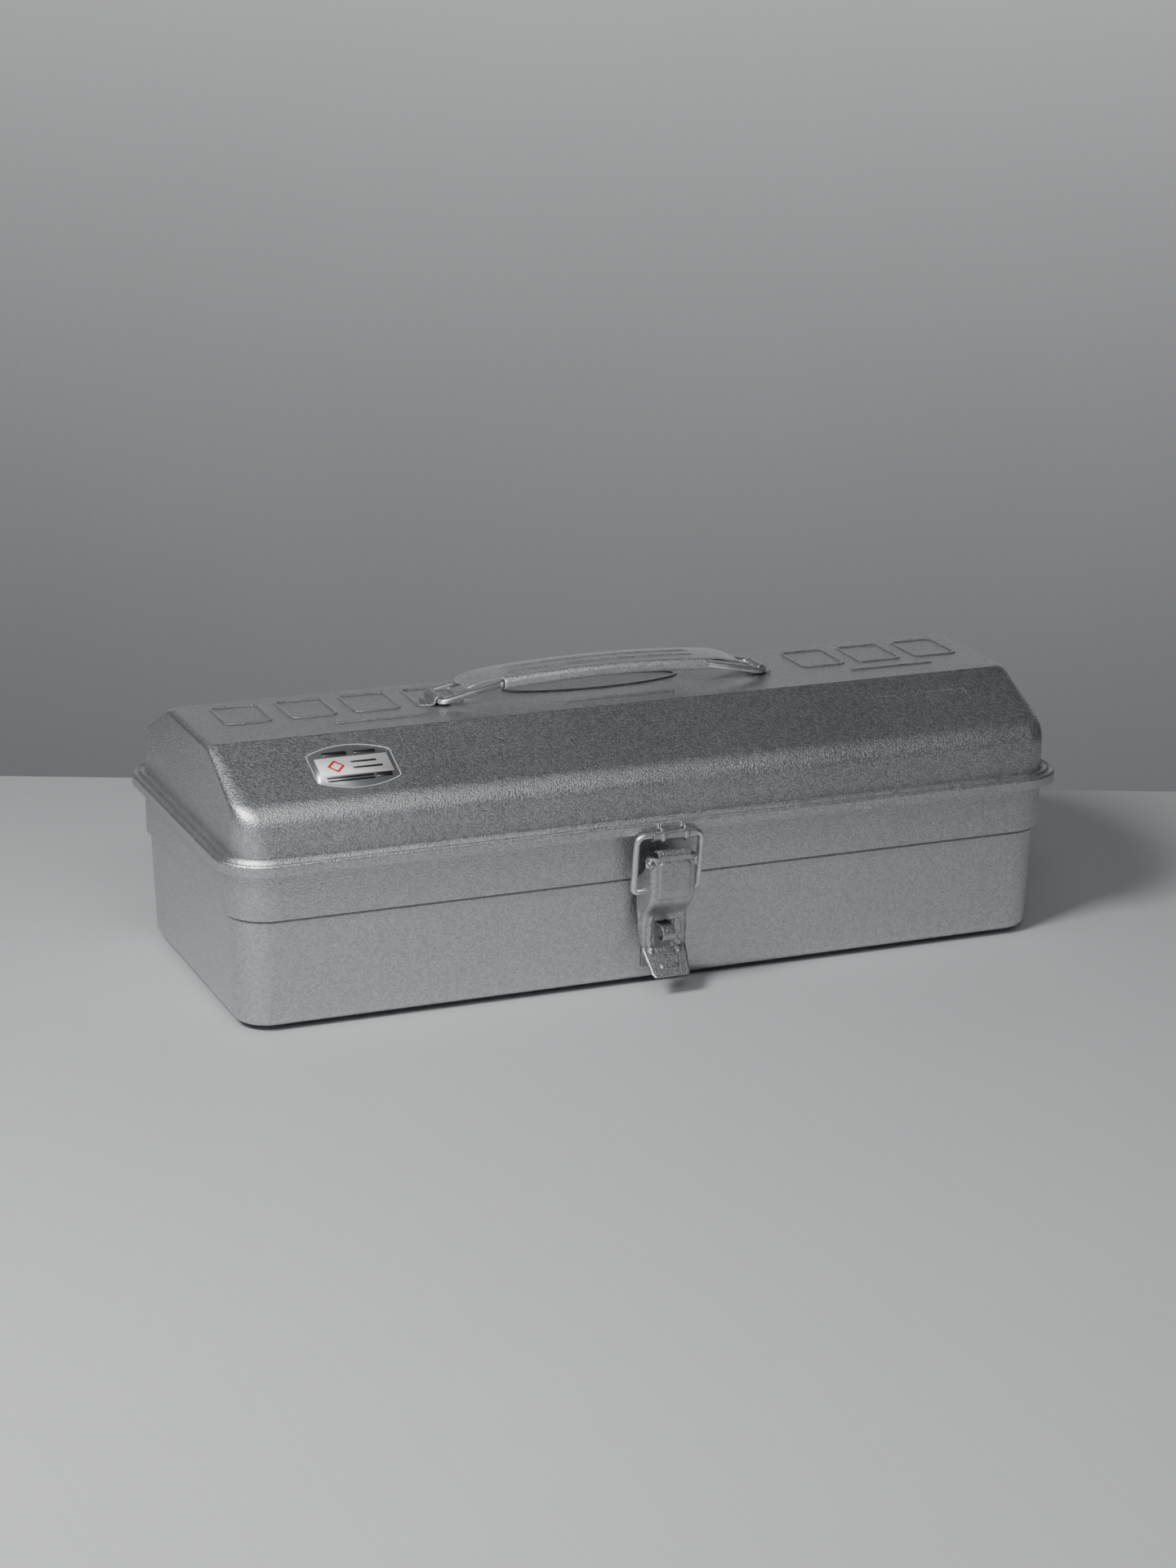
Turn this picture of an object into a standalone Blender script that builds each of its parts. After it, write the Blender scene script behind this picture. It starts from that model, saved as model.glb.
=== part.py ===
"""A steel tool box with a cambered lid, a folding handle and a draw latch.

Metres, +Z up. The origin is the centre of the flat bottom, +X runs along the length,
and -Y is the side with the latch.
"""
import bpy
import bmesh
from math import cos, pi, radians, sin, tan
from mathutils import Matrix, Vector

MM = 0.001

# Sheet, wire and running gaps
SHEET = 0.7 * MM
GAP = 0.3 * MM
CORNER_STEPS = 6
WIRE_SIDES = 10

# Body: half length, half width, plan corner radius and height of its main levels
BOTTOM_HALF = (171.4 * MM, 65.4 * MM)
WAIST_HALF = (173.2 * MM, 67.4 * MM)
BAND_HALF = (175.0 * MM, 69.2 * MM)
BODY_RIM_HALF = (177.9 * MM, 73.4 * MM)
BOTTOM_RADIUS = 5.0 * MM
WAIST_Z = 45.6 * MM
BAND_Z = 46.4 * MM
BODY_RIM_Z = 69.3 * MM
BODY_LIP = 1.6 * MM

# Lid
LID_RIM_HALF = (179.5 * MM, 75.0 * MM)
LID_RIM_RADIUS = 20.0 * MM
LID_SKIRT_Z = 65.9 * MM
LID_FLANGE_Z = 70.4 * MM
LID_WALL_HALF = (173.6 * MM, 69.3 * MM)
LID_BEND_HALF = (172.9 * MM, 66.4 * MM)
LID_BEND_Z = 88.0 * MM
LID_TOP_HALF = (172.6 * MM, 27.8 * MM)
LID_TOP_Z = 105.2 * MM
LID_CORNER_LOW = 14.2 * MM
LID_CORNER_BEND = 8.5 * MM
LID_CORNER_HIGH = 4.0 * MM

# Tray and its divider
TRAY_RIM_HALF = (173.9 * MM, 68.1 * MM)
TRAY_WALL_HALF = (170.6 * MM, 64.8 * MM)
TRAY_FLOOR_HALF = (169.4 * MM, 63.6 * MM)
TRAY_RIM_Z = BAND_Z + GAP + SHEET
TRAY_DEPTH = 20.0 * MM
TRAY_FLOOR_Z = TRAY_RIM_Z - TRAY_DEPTH
FINGER_HOLE = (34.0 * MM, 9.0 * MM)
DIVIDER_X = 38.0 * MM
DIVIDER_HEIGHT = 14.0 * MM
DIVIDER_FOOT = 9.0 * MM

# Rear hinges
HINGE_X = (-105.0 * MM, 105.0 * MM)
HINGE_AXIS = (79.5 * MM, 69.0 * MM)
HINGE_WIDTH = 32.0 * MM
HINGE_MIDDLE = 12.0 * MM
HINGE_SHEET = 1.0 * MM
HINGE_PIN_RADIUS = 1.25 * MM
HINGE_CURL = 2.1 * MM

# Handle
GRIP_HALF = 60.0 * MM
TUBE_HALF = 44.3 * MM
TUBE_Y = 8.3 * MM
TUBE_RADIUS = 2.2 * MM
TUBE_TOP_Z = 114.45 * MM
TUBE_DROP = 1.7 * MM
CROWN_RISE = 0.25 * MM
TONGUE_DROP = 2.2 * MM
TONGUE_CORNER = 3.0 * MM
GRIP_SHEET = 0.6 * MM
LINK_X = 70.5 * MM
LINK_WIRE = 1.2 * MM
LINK_LIFT = 0.4 * MM
LINK_ANGLE = radians(11.5)
LINK_INSERT = 5.0 * MM
LINK_CORNER = 3.0 * MM
BRIDGE_HALF = 6.0 * MM
BRIDGE_FOOT = 1.8 * MM

# Latch, in distance forward of the box's centre plane and height
LATCH_X = -1.45 * MM
PIN = (80.6 * MM, 55.5 * MM)
PIN_RADIUS = 1.1 * MM
PIN_HALF = 10.4 * MM
LATCH_SHEET = 0.8 * MM
CURL = 1.7 * MM
BAIL_PIVOT = (74.3 * MM, 42.3 * MM)
BAIL_TOP = (77.7 * MM, 65.9 * MM)
BAIL_HALF = 13.55 * MM
BAIL_WIRE = 1.3 * MM
BAIL_CORNER = 3.2 * MM
BAIL_STUB = 9.0 * MM
KEEPER_X = 0.2 * MM
KEEPER_HALF = 9.1 * MM
KEEPER_LIP = 1.1 * MM
KEEPER_STRAP_X = 4.95 * MM
KEEPER_STRAP_HALF = 0.8 * MM
KEEPER_STRAP_Z = (67.8 * MM, 69.5 * MM)
BASE_LOW = 7.8 * MM
BASE_SHELF = 41.2 * MM
BASE_HALF = 6.2 * MM
TONGUE_HALF = 4.3 * MM
STAPLE_HALF = 2.6 * MM
STAPLE_Z = (27.7 * MM, 21.3 * MM)
STAPLE_FRONT = 76.0 * MM

# Lever: face, neck and thumb tab, its window, and its width and back edge at each height
LEVER_FACE = 83.1 * MM
LEVER_NECK = 73.9 * MM
LEVER_TAB_Z = 8.9 * MM
LEVER_NECK_Z = (18.1 * MM, 31.4 * MM)
LEVER_FACE_Z = (40.6 * MM, 58.4 * MM)
LEVER_BEND = 2.3 * MM
LEVER_FLAT = 4.6 * MM
WINDOW_HALF = 4.25 * MM
WINDOW_Z = (18.0 * MM, 29.5 * MM)
EAR_RADIUS = 3.0 * MM
LEVER_WIDTH = ((8.9 * MM, 7.0 * MM), (10.4 * MM, 7.8 * MM), (18 * MM, 8.7 * MM), (36 * MM, 9.3 * MM))
LEVER_EDGE = ((8.9 * MM, 7.2 * MM), (10.4 * MM, 8.1 * MM), (18 * MM, 9.3 * MM), (28 * MM, 10.3 * MM),
              (47 * MM, 10.2 * MM), (55 * MM, 9.5 * MM))
LEVER_BACK = ((13 * MM, 84 * MM), (18 * MM, 74.6 * MM), (21 * MM, 73.0 * MM), (28 * MM, 71.9 * MM),
              (36 * MM, 71 * MM), (46 * MM, 71 * MM), (53 * MM, 77.2 * MM), (55.5 * MM, 77.6 * MM))

# Sticker on the lid's front slope
STICKER_CENTRE_X = -120.2 * MM
STICKER_SIZE = (34.0 * MM, 16.4 * MM)
STICKER_BOW = 4.5 * MM
STICKER_SHEET = 0.15 * MM
STICKER_GAP = 0.1 * MM

SILVER = ("silver_paint", (0.42, 0.43, 0.45), 0.38, 0.8)
DARK_SILVER = ("handle_paint", (0.33, 0.34, 0.36), 0.4, 0.8)
BRIGHT_STEEL = ("plated_steel", (0.60, 0.60, 0.60), 0.3, 1.0)
FILM = ("sticker_film", (0.80, 0.80, 0.80), 0.4, 0.0)


# ---------------------------------------------------------------- shared helpers

def clear_scene():
    for item in list(bpy.data.objects):
        bpy.data.objects.remove(item, do_unlink=True)


def material(finish):
    """A Principled material from a (name, colour, roughness, metallic) finish."""
    name, colour, roughness, metallic = finish
    found = bpy.data.materials.get(name)
    if found:
        return found
    made = bpy.data.materials.new(name)
    made.use_nodes = True
    shader = made.node_tree.nodes["Principled BSDF"]
    shader.inputs["Base Color"].default_value = (*colour, 1.0)
    shader.inputs["Roughness"].default_value = roughness
    shader.inputs["Metallic"].default_value = metallic
    return made


def empty(name, location):
    """An empty on a joint's axis, which the moving pieces are parented to."""
    made = bpy.data.objects.new(name, None)
    made.location = location
    bpy.context.collection.objects.link(made)
    return made


def add_object(name, mesh_data, finish, parent=None, smooth_angle=35.0):
    """Link bmesh data as a named object, and hang it on its parent without moving it."""
    if all(edge.is_manifold for edge in mesh_data.edges):
        bmesh.ops.recalc_face_normals(mesh_data, faces=mesh_data.faces)
    mesh = bpy.data.meshes.new(name)
    mesh_data.to_mesh(mesh)
    mesh_data.free()
    mesh.shade_smooth()
    mesh.set_sharp_from_angle(angle=radians(smooth_angle))
    made = bpy.data.objects.new(name, mesh)
    made.data.materials.append(material(finish))
    bpy.context.collection.objects.link(made)
    if parent:
        mesh.transform(Matrix.Translation(-parent.location))
        made.parent = parent
    return made


def solidify(item, thickness, offset):
    """Give an open sheet its thickness: offset 0 is centred, -1 is inside the surface."""
    thicken = item.modifiers.new("thickness", "SOLIDIFY")
    thicken.thickness = thickness
    thicken.offset = offset
    thicken.use_even_offset = True
    thicken.use_quality_normals = True


def cut_with(item, cutter):
    """Subtract a cutter, which stays in the file as a hidden guide."""
    cutter.hide_render = True
    cutter.display_type = "WIRE"
    cut = item.modifiers.new("cut_" + cutter.name, "BOOLEAN")
    cut.operation = "DIFFERENCE"
    cut.object = cutter


def round_path(points, radii, steps):
    """A polyline with an arc of the given radius at each inner corner."""
    points = [Vector(p) for p in points]
    out = [points[0]]
    for before, corner, after, radius in zip(points, points[1:], points[2:], radii):
        to_before = (before - corner).normalized()
        to_after = (after - corner).normalized()
        half = to_before.angle(to_after) / 2
        centre = corner + (to_before + to_after).normalized() * radius / sin(half)
        start = corner + to_before * radius / tan(half) - centre
        end = corner + to_after * radius / tan(half) - centre
        sweep = start.angle(end)
        for i in range(steps + 1):
            a = sweep * i / steps
            out.append(centre + (start * sin(sweep - a) + end * sin(a)) / sin(sweep))
    out.append(points[-1])
    return out


def arc(centre, radius, first, last, steps):
    """Points of a plane arc, with its angles in degrees."""
    angles = [radians(first + (last - first) * i / steps) for i in range(steps + 1)]
    return [Vector((centre[0] + radius * cos(a), centre[1] + radius * sin(a))) for a in angles]


def rounded_rectangle(half_x, half_y, radius, z):
    """One level of a shell: a closed loop with four rounded corners."""
    loop = []
    for quarter, (sx, sy) in enumerate(((1, 1), (-1, 1), (-1, -1), (1, -1))):
        for i in range(CORNER_STEPS + 1):
            a = (quarter + i / CORNER_STEPS) * pi / 2
            x = sx * (half_x - radius) + radius * cos(a)
            y = sy * (half_y - radius) + radius * sin(a)
            loop.append(Vector((x, y, z)))
    return loop


def skin_levels(levels):
    """An open shell through rounded rectangles, closed flat at its last level, facing out."""
    shell = bmesh.new()
    loops = []
    for level in levels:
        loop = [shell.verts.new(p) for p in rounded_rectangle(*level)]
        upwards = levels[-1][3] > levels[0][3]
        loops.append(loop if upwards else list(reversed(loop)))
    for low, high in zip(loops, loops[1:]):
        for i in range(len(low)):
            j = (i + 1) % len(low)
            shell.faces.new((low[i], low[j], high[j], high[i]))
    shell.faces.new(loops[-1])
    return shell


def sheet_grid(rows, keep=lambda row, column: True):
    """A sheet through rows of points; keep() says which of its cells are there."""
    sheet = bmesh.new()
    grid = [[sheet.verts.new(p) for p in row] for row in rows]
    for r in range(len(grid) - 1):
        for c in range(len(grid[0]) - 1):
            if keep(r, c):
                sheet.faces.new((grid[r][c], grid[r][c + 1], grid[r + 1][c + 1], grid[r + 1][c]))
    loose = [v for v in sheet.verts if not v.link_faces]
    bmesh.ops.delete(sheet, geom=loose, context="VERTS")
    return sheet


def strip_along_x(path, stations, keep=lambda row, column: True):
    """A sheet bent along a (y, z) path and carried through the X stations."""
    return sheet_grid([[(x, p[0], p[1]) for x in stations] for p in path], keep)


def wire(points, radius):
    """A round wire along a smooth path, closed by flat ends."""
    made = bmesh.new()
    count = len(points)
    side = None
    rings = []
    for i, point in enumerate(points):
        along = (points[min(i + 1, count - 1)] - points[max(i - 1, 0)]).normalized()
        side = along.orthogonal() if side is None else side - along * side.dot(along)
        side.normalize()
        up = along.cross(side)
        turn = [2 * pi * k / WIRE_SIDES for k in range(WIRE_SIDES)]
        rings.append([made.verts.new(point + (side * cos(a) + up * sin(a)) * radius) for a in turn])
    for one, two in zip(rings, rings[1:]):
        for k in range(WIRE_SIDES):
            m = (k + 1) % WIRE_SIDES
            made.faces.new((one[k], one[m], two[m], two[k]))
    made.faces.new(rings[0])
    made.faces.new(rings[-1])
    return made


def pin_along_x(centre_x, y, z, radius, half_length):
    """A pin with a small chamfer at both ends."""
    chamfer = radius * 0.3
    reach = ((-half_length, radius - chamfer), (-half_length + chamfer, radius),
             (half_length - chamfer, radius), (half_length, radius - chamfer))
    made = bmesh.new()
    rings = []
    for x, r in reach:
        angles = [2 * pi * k / 12 for k in range(12)]
        rings.append([made.verts.new((centre_x + x, y + r * cos(a), z + r * sin(a))) for a in angles])
    for one, two in zip(rings, rings[1:]):
        for k in range(12):
            made.faces.new((one[k], one[(k + 1) % 12], two[(k + 1) % 12], two[k]))
    made.faces.new(rings[0])
    made.faces.new(rings[-1])
    return made


def box_cutter(name, low, high):
    made = bmesh.new()
    bmesh.ops.create_cube(made, size=1.0)
    for v in made.verts:
        v.co = Vector([(a + b) / 2 + c * (b - a) for a, b, c in zip(low, high, v.co)])
    return add_object(name, made, SILVER)


# ---------------------------------------------------------------- body, lid and tray

def body_shell():
    """The drawn tub: rim lip, flange, upper band, step, drafted wall and flat bottom.

    The profile follows the sheet's under and outer side, and the thickness goes inwards.
    """
    lip_half = [half - SHEET for half in BODY_RIM_HALF]
    under_rim = BODY_RIM_Z - SHEET
    corners = [
        (*lip_half, BODY_RIM_Z - BODY_LIP),
        (*lip_half, under_rim),
        (*BAND_HALF, under_rim),
        (*BAND_HALF, BAND_Z),
        (*WAIST_HALF, WAIST_Z),
        (*BOTTOM_HALF, 0.0),
        (BOTTOM_HALF[0] - 20 * MM, BOTTOM_HALF[1] - 20 * MM, 0.0),
    ]
    radii = [0.4 * MM, 1.0 * MM, 0.8 * MM, 0.8 * MM, BOTTOM_RADIUS]
    profile = round_path(corners, radii, 3)[:-1]
    levels = []
    for half_x, half_y, z in profile:
        radius = 17.0 * MM + (half_x - BAND_HALF[0])
        levels.append((half_x, half_y, max(radius, 8 * MM), z))
    item = add_object("body_shell", skin_levels(levels), SILVER)
    solidify(item, SHEET, -1.0)
    return item


def lid_wall_levels(half_steps):
    """Levels from the flange to the flat top, where each side has a bend of its own."""
    along = round_path([(LID_WALL_HALF[0], LID_FLANGE_Z), (LID_TOP_HALF[0], LID_TOP_Z),
                        (0.0, LID_TOP_Z)], [2.4 * MM], half_steps + 1)
    across = round_path([(LID_WALL_HALF[1], LID_FLANGE_Z), (LID_BEND_HALF[1], LID_BEND_Z),
                         (LID_TOP_HALF[1], LID_TOP_Z), (0.0, LID_TOP_Z)],
                        [7.0 * MM, 6.0 * MM], half_steps)
    heights = sorted({round(p[1], 7) for p in along + across if p[1] > LID_FLANGE_Z + 1.5 * MM})

    def half_at(profile, z):
        for low, high in zip(profile, profile[1:]):
            if low[1] <= z + 1e-7 and z <= high[1] + 1e-7:
                share = (z - low[1]) / max(high[1] - low[1], 1e-9)
                return low[0] + (high[0] - low[0]) * min(max(share, 0.0), 1.0)
        return profile[-2][0]

    levels = []
    for z in heights:
        if z < LID_BEND_Z:
            share = (z - LID_FLANGE_Z) / (LID_BEND_Z - LID_FLANGE_Z)
            radius = LID_CORNER_LOW + (LID_CORNER_BEND - LID_CORNER_LOW) * share
        else:
            share = (z - LID_BEND_Z) / (LID_TOP_Z - LID_BEND_Z)
            radius = LID_CORNER_BEND + (LID_CORNER_HIGH - LID_CORNER_BEND) * share
        levels.append((half_at(along, z), half_at(across, z), radius, z))
    return levels


def lid_shell():
    """The pressed cover: skirt, flange, low wall, slopes and flat top."""
    corners = [
        (*LID_RIM_HALF, LID_SKIRT_Z),
        (*LID_RIM_HALF, LID_FLANGE_Z),
        (*LID_WALL_HALF, LID_FLANGE_Z),
        (*LID_WALL_HALF, LID_FLANGE_Z + 5 * MM),
    ]
    rim = round_path(corners, [1.2 * MM, 1.0 * MM], 3)[:-1]
    spread = LID_RIM_HALF[0] - LID_WALL_HALF[0]
    levels = []
    for half_x, half_y, z in rim:
        share = (half_x - LID_WALL_HALF[0]) / spread
        radius = LID_CORNER_LOW + (LID_RIM_RADIUS - LID_CORNER_LOW) * share
        levels.append((half_x, half_y, radius, z))
    levels += lid_wall_levels(3)
    item = add_object("lid_shell", skin_levels(levels), SILVER, LID_AXIS)
    solidify(item, SHEET, -1.0)
    return item


def tray():
    """A shallow pressed tray that hangs by its rim on the step of the body."""
    corners = [
        (*TRAY_RIM_HALF, TRAY_RIM_Z - SHEET),
        (*TRAY_WALL_HALF, TRAY_RIM_Z - SHEET),
        (*TRAY_FLOOR_HALF, TRAY_FLOOR_Z),
        (TRAY_FLOOR_HALF[0] - 20 * MM, TRAY_FLOOR_HALF[1] - 20 * MM, TRAY_FLOOR_Z),
    ]
    profile = round_path(corners, [1.2 * MM, 3.0 * MM], 3)[:-1]
    levels = []
    for half_x, half_y, z in profile:
        levels.append((half_x, half_y, max(16.0 * MM + half_x - TRAY_RIM_HALF[0], 8 * MM), z))
    item = add_object("tray", skin_levels(levels), SILVER, TRAY_AXIS)
    solidify(item, SHEET, -1.0)
    high = TRAY_RIM_Z - 3.0 * MM
    low = high - FINGER_HOLE[1]
    reach = TRAY_RIM_HALF[0] + 5 * MM
    hole = box_cutter("finger_hole_cutter", (-reach, -FINGER_HOLE[0] / 2, low),
                      (reach, FINGER_HOLE[0] / 2, high))
    corner = hole.modifiers.new("corners", "BEVEL")
    corner.width = FINGER_HOLE[1] * 0.48
    corner.segments = 3
    corner.limit_method = "WEIGHT"
    weights = hole.data.attributes.new("bevel_weight_edge", "FLOAT", "EDGE")
    for edge in hole.data.edges:
        a, b = (hole.data.vertices[i].co for i in edge.vertices)
        weights.data[edge.index].value = 1.0 if abs(a.x - b.x) > reach else 0.0
    cut_with(item, hole)
    return item


def tray_divider():
    """An L-shaped cross plate that stands on the tray's floor."""
    floor = TRAY_FLOOR_Z + GAP + 1.5 * SHEET
    half = TRAY_FLOOR_HALF[1] - 4.2 * MM
    path = round_path([(DIVIDER_X + DIVIDER_FOOT, floor), (DIVIDER_X, floor),
                       (DIVIDER_X, floor + DIVIDER_HEIGHT)], [1.2 * MM], 3)
    sheet = sheet_grid([[(x, -half, z), (x, half, z)] for x, z in path])
    item = add_object("tray_divider", sheet, SILVER, TRAY_AXIS)
    solidify(item, SHEET, 0.0)
    return item


# ---------------------------------------------------------------- rear hinges

def hinge_stations(centre):
    half, middle = HINGE_WIDTH / 2, HINGE_MIDDLE / 2
    return [centre + x for x in (-half, -middle - GAP / 2, -middle + GAP / 2,
                                 middle - GAP / 2, middle + GAP / 2, half)]


def hinge_body_leaf(name, centre):
    """Leaf on the rear wall, carried out under the lid's skirt, with two outer knuckles."""
    y, z = HINGE_AXIS
    flat = BAND_HALF[1] + GAP + HINGE_SHEET / 2
    back = y + HINGE_CURL
    run = round_path([(flat, 49 * MM), (flat, 58.5 * MM), (back, 64.5 * MM), (back, z)],
                     [2.0 * MM, 1.5 * MM], 3)
    curl = arc(HINGE_AXIS, HINGE_CURL, 0, 290, 10)
    path = run[:-1] + curl
    arms = len(run) - 5
    sheet = strip_along_x(path, hinge_stations(centre),
                          lambda r, c: r < arms or c in (0, 4))
    item = add_object(name, sheet, SILVER)
    solidify(item, HINGE_SHEET, 0.0)
    return item


def hinge_lid_leaf(name, centre):
    """Leaf on the lid's rear wall, carried over the flange, with the middle knuckle."""
    y, z = HINGE_AXIS
    wall = LID_WALL_HALF[1] + GAP + HINGE_SHEET / 2
    lean = (LID_WALL_HALF[1] - LID_BEND_HALF[1]) / (LID_BEND_Z - LID_FLANGE_Z)
    over = LID_FLANGE_Z + GAP + HINGE_SHEET
    top = 82.5 * MM
    foot = (wall - lean * (top - over), top)
    edge = y - HINGE_CURL - 1.2 * MM
    run = round_path([foot, (wall - lean * 1 * MM, over), (edge, over)], [1.2 * MM], 3)
    curl = arc(HINGE_AXIS, HINGE_CURL, 90, -190, 10)
    path = run + curl
    arms = len(run) - 1
    sheet = strip_along_x(path, hinge_stations(centre), lambda r, c: r < arms or c == 2)
    item = add_object(name, sheet, SILVER, LID_AXIS)
    solidify(item, HINGE_SHEET, 0.0)
    return item


def hinge_pin(name, centre):
    half = HINGE_WIDTH / 2 + 0.8 * MM
    return add_object(name, pin_along_x(centre, *HINGE_AXIS, HINGE_PIN_RADIUS, half), BRIGHT_STEEL)


# ---------------------------------------------------------------- handle

def tube_height(x):
    """Height of the rolled edges' centre line: an arch, and straight past their ends."""
    end_slope = 2 * TUBE_DROP / TUBE_HALF
    past = max(abs(x) - TUBE_HALF, 0.0)
    return TUBE_TOP_Z - TUBE_DROP * (min(abs(x), TUBE_HALF) / TUBE_HALF) ** 2 - end_slope * past


def crown_height(x):
    """Height of the grip's top sheet on its centre line; its tongues end in a drooping lip."""
    past = max(abs(x) - TUBE_HALF, 0.0) / (GRIP_HALF - TUBE_HALF)
    return tube_height(x) + TUBE_RADIUS + CROWN_RISE - TONGUE_DROP * past ** 3


def grip_row(x):
    """One cross-section of the grip: curl, crown, curl."""
    inset = max(TONGUE_CORNER - (GRIP_HALF - abs(x)), 0.0)
    narrow = 1.0 - (TONGUE_CORNER - (TONGUE_CORNER ** 2 - inset ** 2) ** 0.5) / TUBE_Y
    drop = crown_height(x) - tube_height(x) - TUBE_RADIUS - CROWN_RISE
    curl = arc((-TUBE_Y, 0.0), TUBE_RADIUS, 15 + 360, 90, 12)
    crown = []
    for share in (-0.7, -0.35, 0.0, 0.35, 0.7):
        crown.append(Vector((share * TUBE_Y, TUBE_RADIUS + CROWN_RISE * (1 - share ** 2))))
    left = curl + crown[:3]
    section = left + [Vector((-p[0], p[1])) for p in reversed(left[:-1])]
    centre = tube_height(x)
    return [(x, p[0] * narrow, centre + p[1] + drop) for p in section]


def handle_grip():
    """The arched sheet with both long edges rolled into tubes and a tongue at each end."""
    tongue = [TUBE_HALF + (GRIP_HALF - TUBE_HALF) * t for t in (1.0, 0.97, 0.9, 0.78, 0.6, 0.3)]
    middle = [TUBE_HALF * (1 - i / 5) for i in range(11)]
    stations = tongue + middle + [-x for x in reversed(tongue)]
    rows = [grip_row(x) for x in stations]
    crown_first, crown_last = 11, len(rows[0]) - 12
    tubes = range(len(tongue), len(tongue) + len(middle) - 1)
    sheet = sheet_grid(rows, lambda r, c: r in tubes or crown_first <= c < crown_last)
    item = add_object("handle_grip", sheet, DARK_SILVER, GRIP_AXIS)
    solidify(item, GRIP_SHEET, 0.0)
    return item


def link_height():
    return LID_TOP_Z + GAP + LINK_WIRE + LINK_LIFT


def handle_link(name, side, parent):
    """A U of wire: the crossbar turns under its bridge and both legs slide in the tubes."""
    span = LINK_X - TUBE_HALF + LINK_INSERT
    tip_x = side * (LINK_X - span)
    tip_z = link_height() + span * tan(LINK_ANGLE)
    bar_x = side * LINK_X
    corners = [(tip_x, -TUBE_Y, tip_z), (bar_x, -TUBE_Y, link_height()),
               (bar_x, TUBE_Y, link_height()), (tip_x, TUBE_Y, tip_z)]
    path = round_path(corners, [LINK_CORNER] * 2, 5)
    return add_object(name, wire(path, LINK_WIRE), BRIGHT_STEEL, parent, 50.0)


def handle_bridge(name, side):
    """A saddle strap over the link's crossbar, with a flat foot on each side."""
    bore = LINK_WIRE + GAP + SHEET / 2
    foot_z = LID_TOP_Z + GAP + SHEET / 2
    centre = side * LINK_X
    arch = arc((centre, link_height()), bore, 180, 0, 8)
    foot = bore + BRIDGE_FOOT
    path = round_path([(centre - foot, foot_z), (centre - bore, foot_z), arch[0]], [0.5 * MM], 2)
    left = path[:-1] + arch[:5]
    right = [Vector((2 * centre - p[0], p[1])) for p in reversed(left[:-1])]
    rows = [[(x, -BRIDGE_HALF, z), (x, BRIDGE_HALF, z)] for x, z in left + right]
    item = add_object(name, sheet_grid(rows), SILVER, LID_AXIS)
    solidify(item, SHEET, 0.0)
    return item


# ---------------------------------------------------------------- latch

def front(points):
    """Turn (forward, height) pairs into (y, z) pairs."""
    return [Vector((-p[0], p[1])) for p in points]


def latch_keeper():
    """The hook that the bail's top bar is pulled down into, with two straps up the skirt."""
    back = LID_RIM_HALF[1] + GAP + LATCH_SHEET / 2
    reach = BAIL_TOP[0] - back
    low, high = KEEPER_STRAP_Z
    path = [Vector((back, high)), Vector((back, low))] + arc(BAIL_TOP, reach, 180, 360, 8)
    path.append(Vector((BAIL_TOP[0] + reach, BAIL_TOP[1] + KEEPER_LIP)))
    inner = KEEPER_STRAP_X - KEEPER_STRAP_HALF
    outer = KEEPER_STRAP_X + KEEPER_STRAP_HALF
    stations = [KEEPER_X + x for x in (-KEEPER_HALF, -outer, -inner, inner, outer, KEEPER_HALF)]
    sheet = strip_along_x(front(path), stations, lambda r, c: r > 0 or c in (1, 3))
    item = add_object("latch_keeper", sheet, SILVER, LID_AXIS)
    solidify(item, LATCH_SHEET, 0.0)
    return item


def wall_front(z):
    """Distance forward of the body's drafted front wall, below the step."""
    return BOTTOM_HALF[1] + (WAIST_HALF[1] - BOTTOM_HALF[1]) * z / WAIST_Z


def latch_base():
    """The plate on the front wall; its tongue reaches forward and rolls round the pin."""
    lift = GAP + LATCH_SHEET / 2
    behind = PIN[0] - CURL
    run = round_path([(wall_front(BASE_LOW) + lift, BASE_LOW),
                      (wall_front(BASE_SHELF) + lift, BASE_SHELF),
                      (behind, BASE_SHELF + 1.0 * MM), (behind, PIN[1])], [1.5 * MM, 2.0 * MM], 3)
    curl = arc(PIN, CURL, 180, -100, 10)
    path = front(run[:-1] + curl)
    stations = [LATCH_X + x for x in (-BASE_HALF, -TONGUE_HALF, TONGUE_HALF, BASE_HALF)]
    sheet = strip_along_x(path, stations, lambda r, c: r < 1 or c == 1)
    item = add_object("latch_base", sheet, SILVER)
    solidify(item, LATCH_SHEET, 0.0)
    return item


def padlock_staple():
    """The rolled eye on the base plate that comes out through the lever's window."""
    high, low = STAPLE_Z
    plate = wall_front(35 * MM) + 2 * GAP + 1.5 * LATCH_SHEET
    radius = (high - low) / 2
    centre = (STAPLE_FRONT, (high + low) / 2)
    run = round_path([(plate, 36.5 * MM), (plate, high), centre_top(centre, radius)], [1.5 * MM], 3)
    curl = arc(centre, radius, 90, -90, 8)
    path = front(run[:-1] + curl + [Vector((STAPLE_FRONT - 3.2 * MM, low + 0.4 * MM))])
    stations = [LATCH_X - STAPLE_HALF, LATCH_X + STAPLE_HALF]
    item = add_object("padlock_staple", strip_along_x(path, stations), SILVER)
    solidify(item, LATCH_SHEET, 0.0)
    return item


def centre_top(centre, radius):
    return (centre[0], centre[1] + radius)


def blend(table, z):
    """Read a (height, value) table with a smooth step between its rows."""
    if z <= table[0][0]:
        return table[0][1]
    for (z0, v0), (z1, v1) in zip(table, table[1:]):
        if z <= z1:
            t = (z - z0) / (z1 - z0)
            return v0 + (v1 - v0) * t * t * (3 - 2 * t)
    return table[-1][1]


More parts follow.
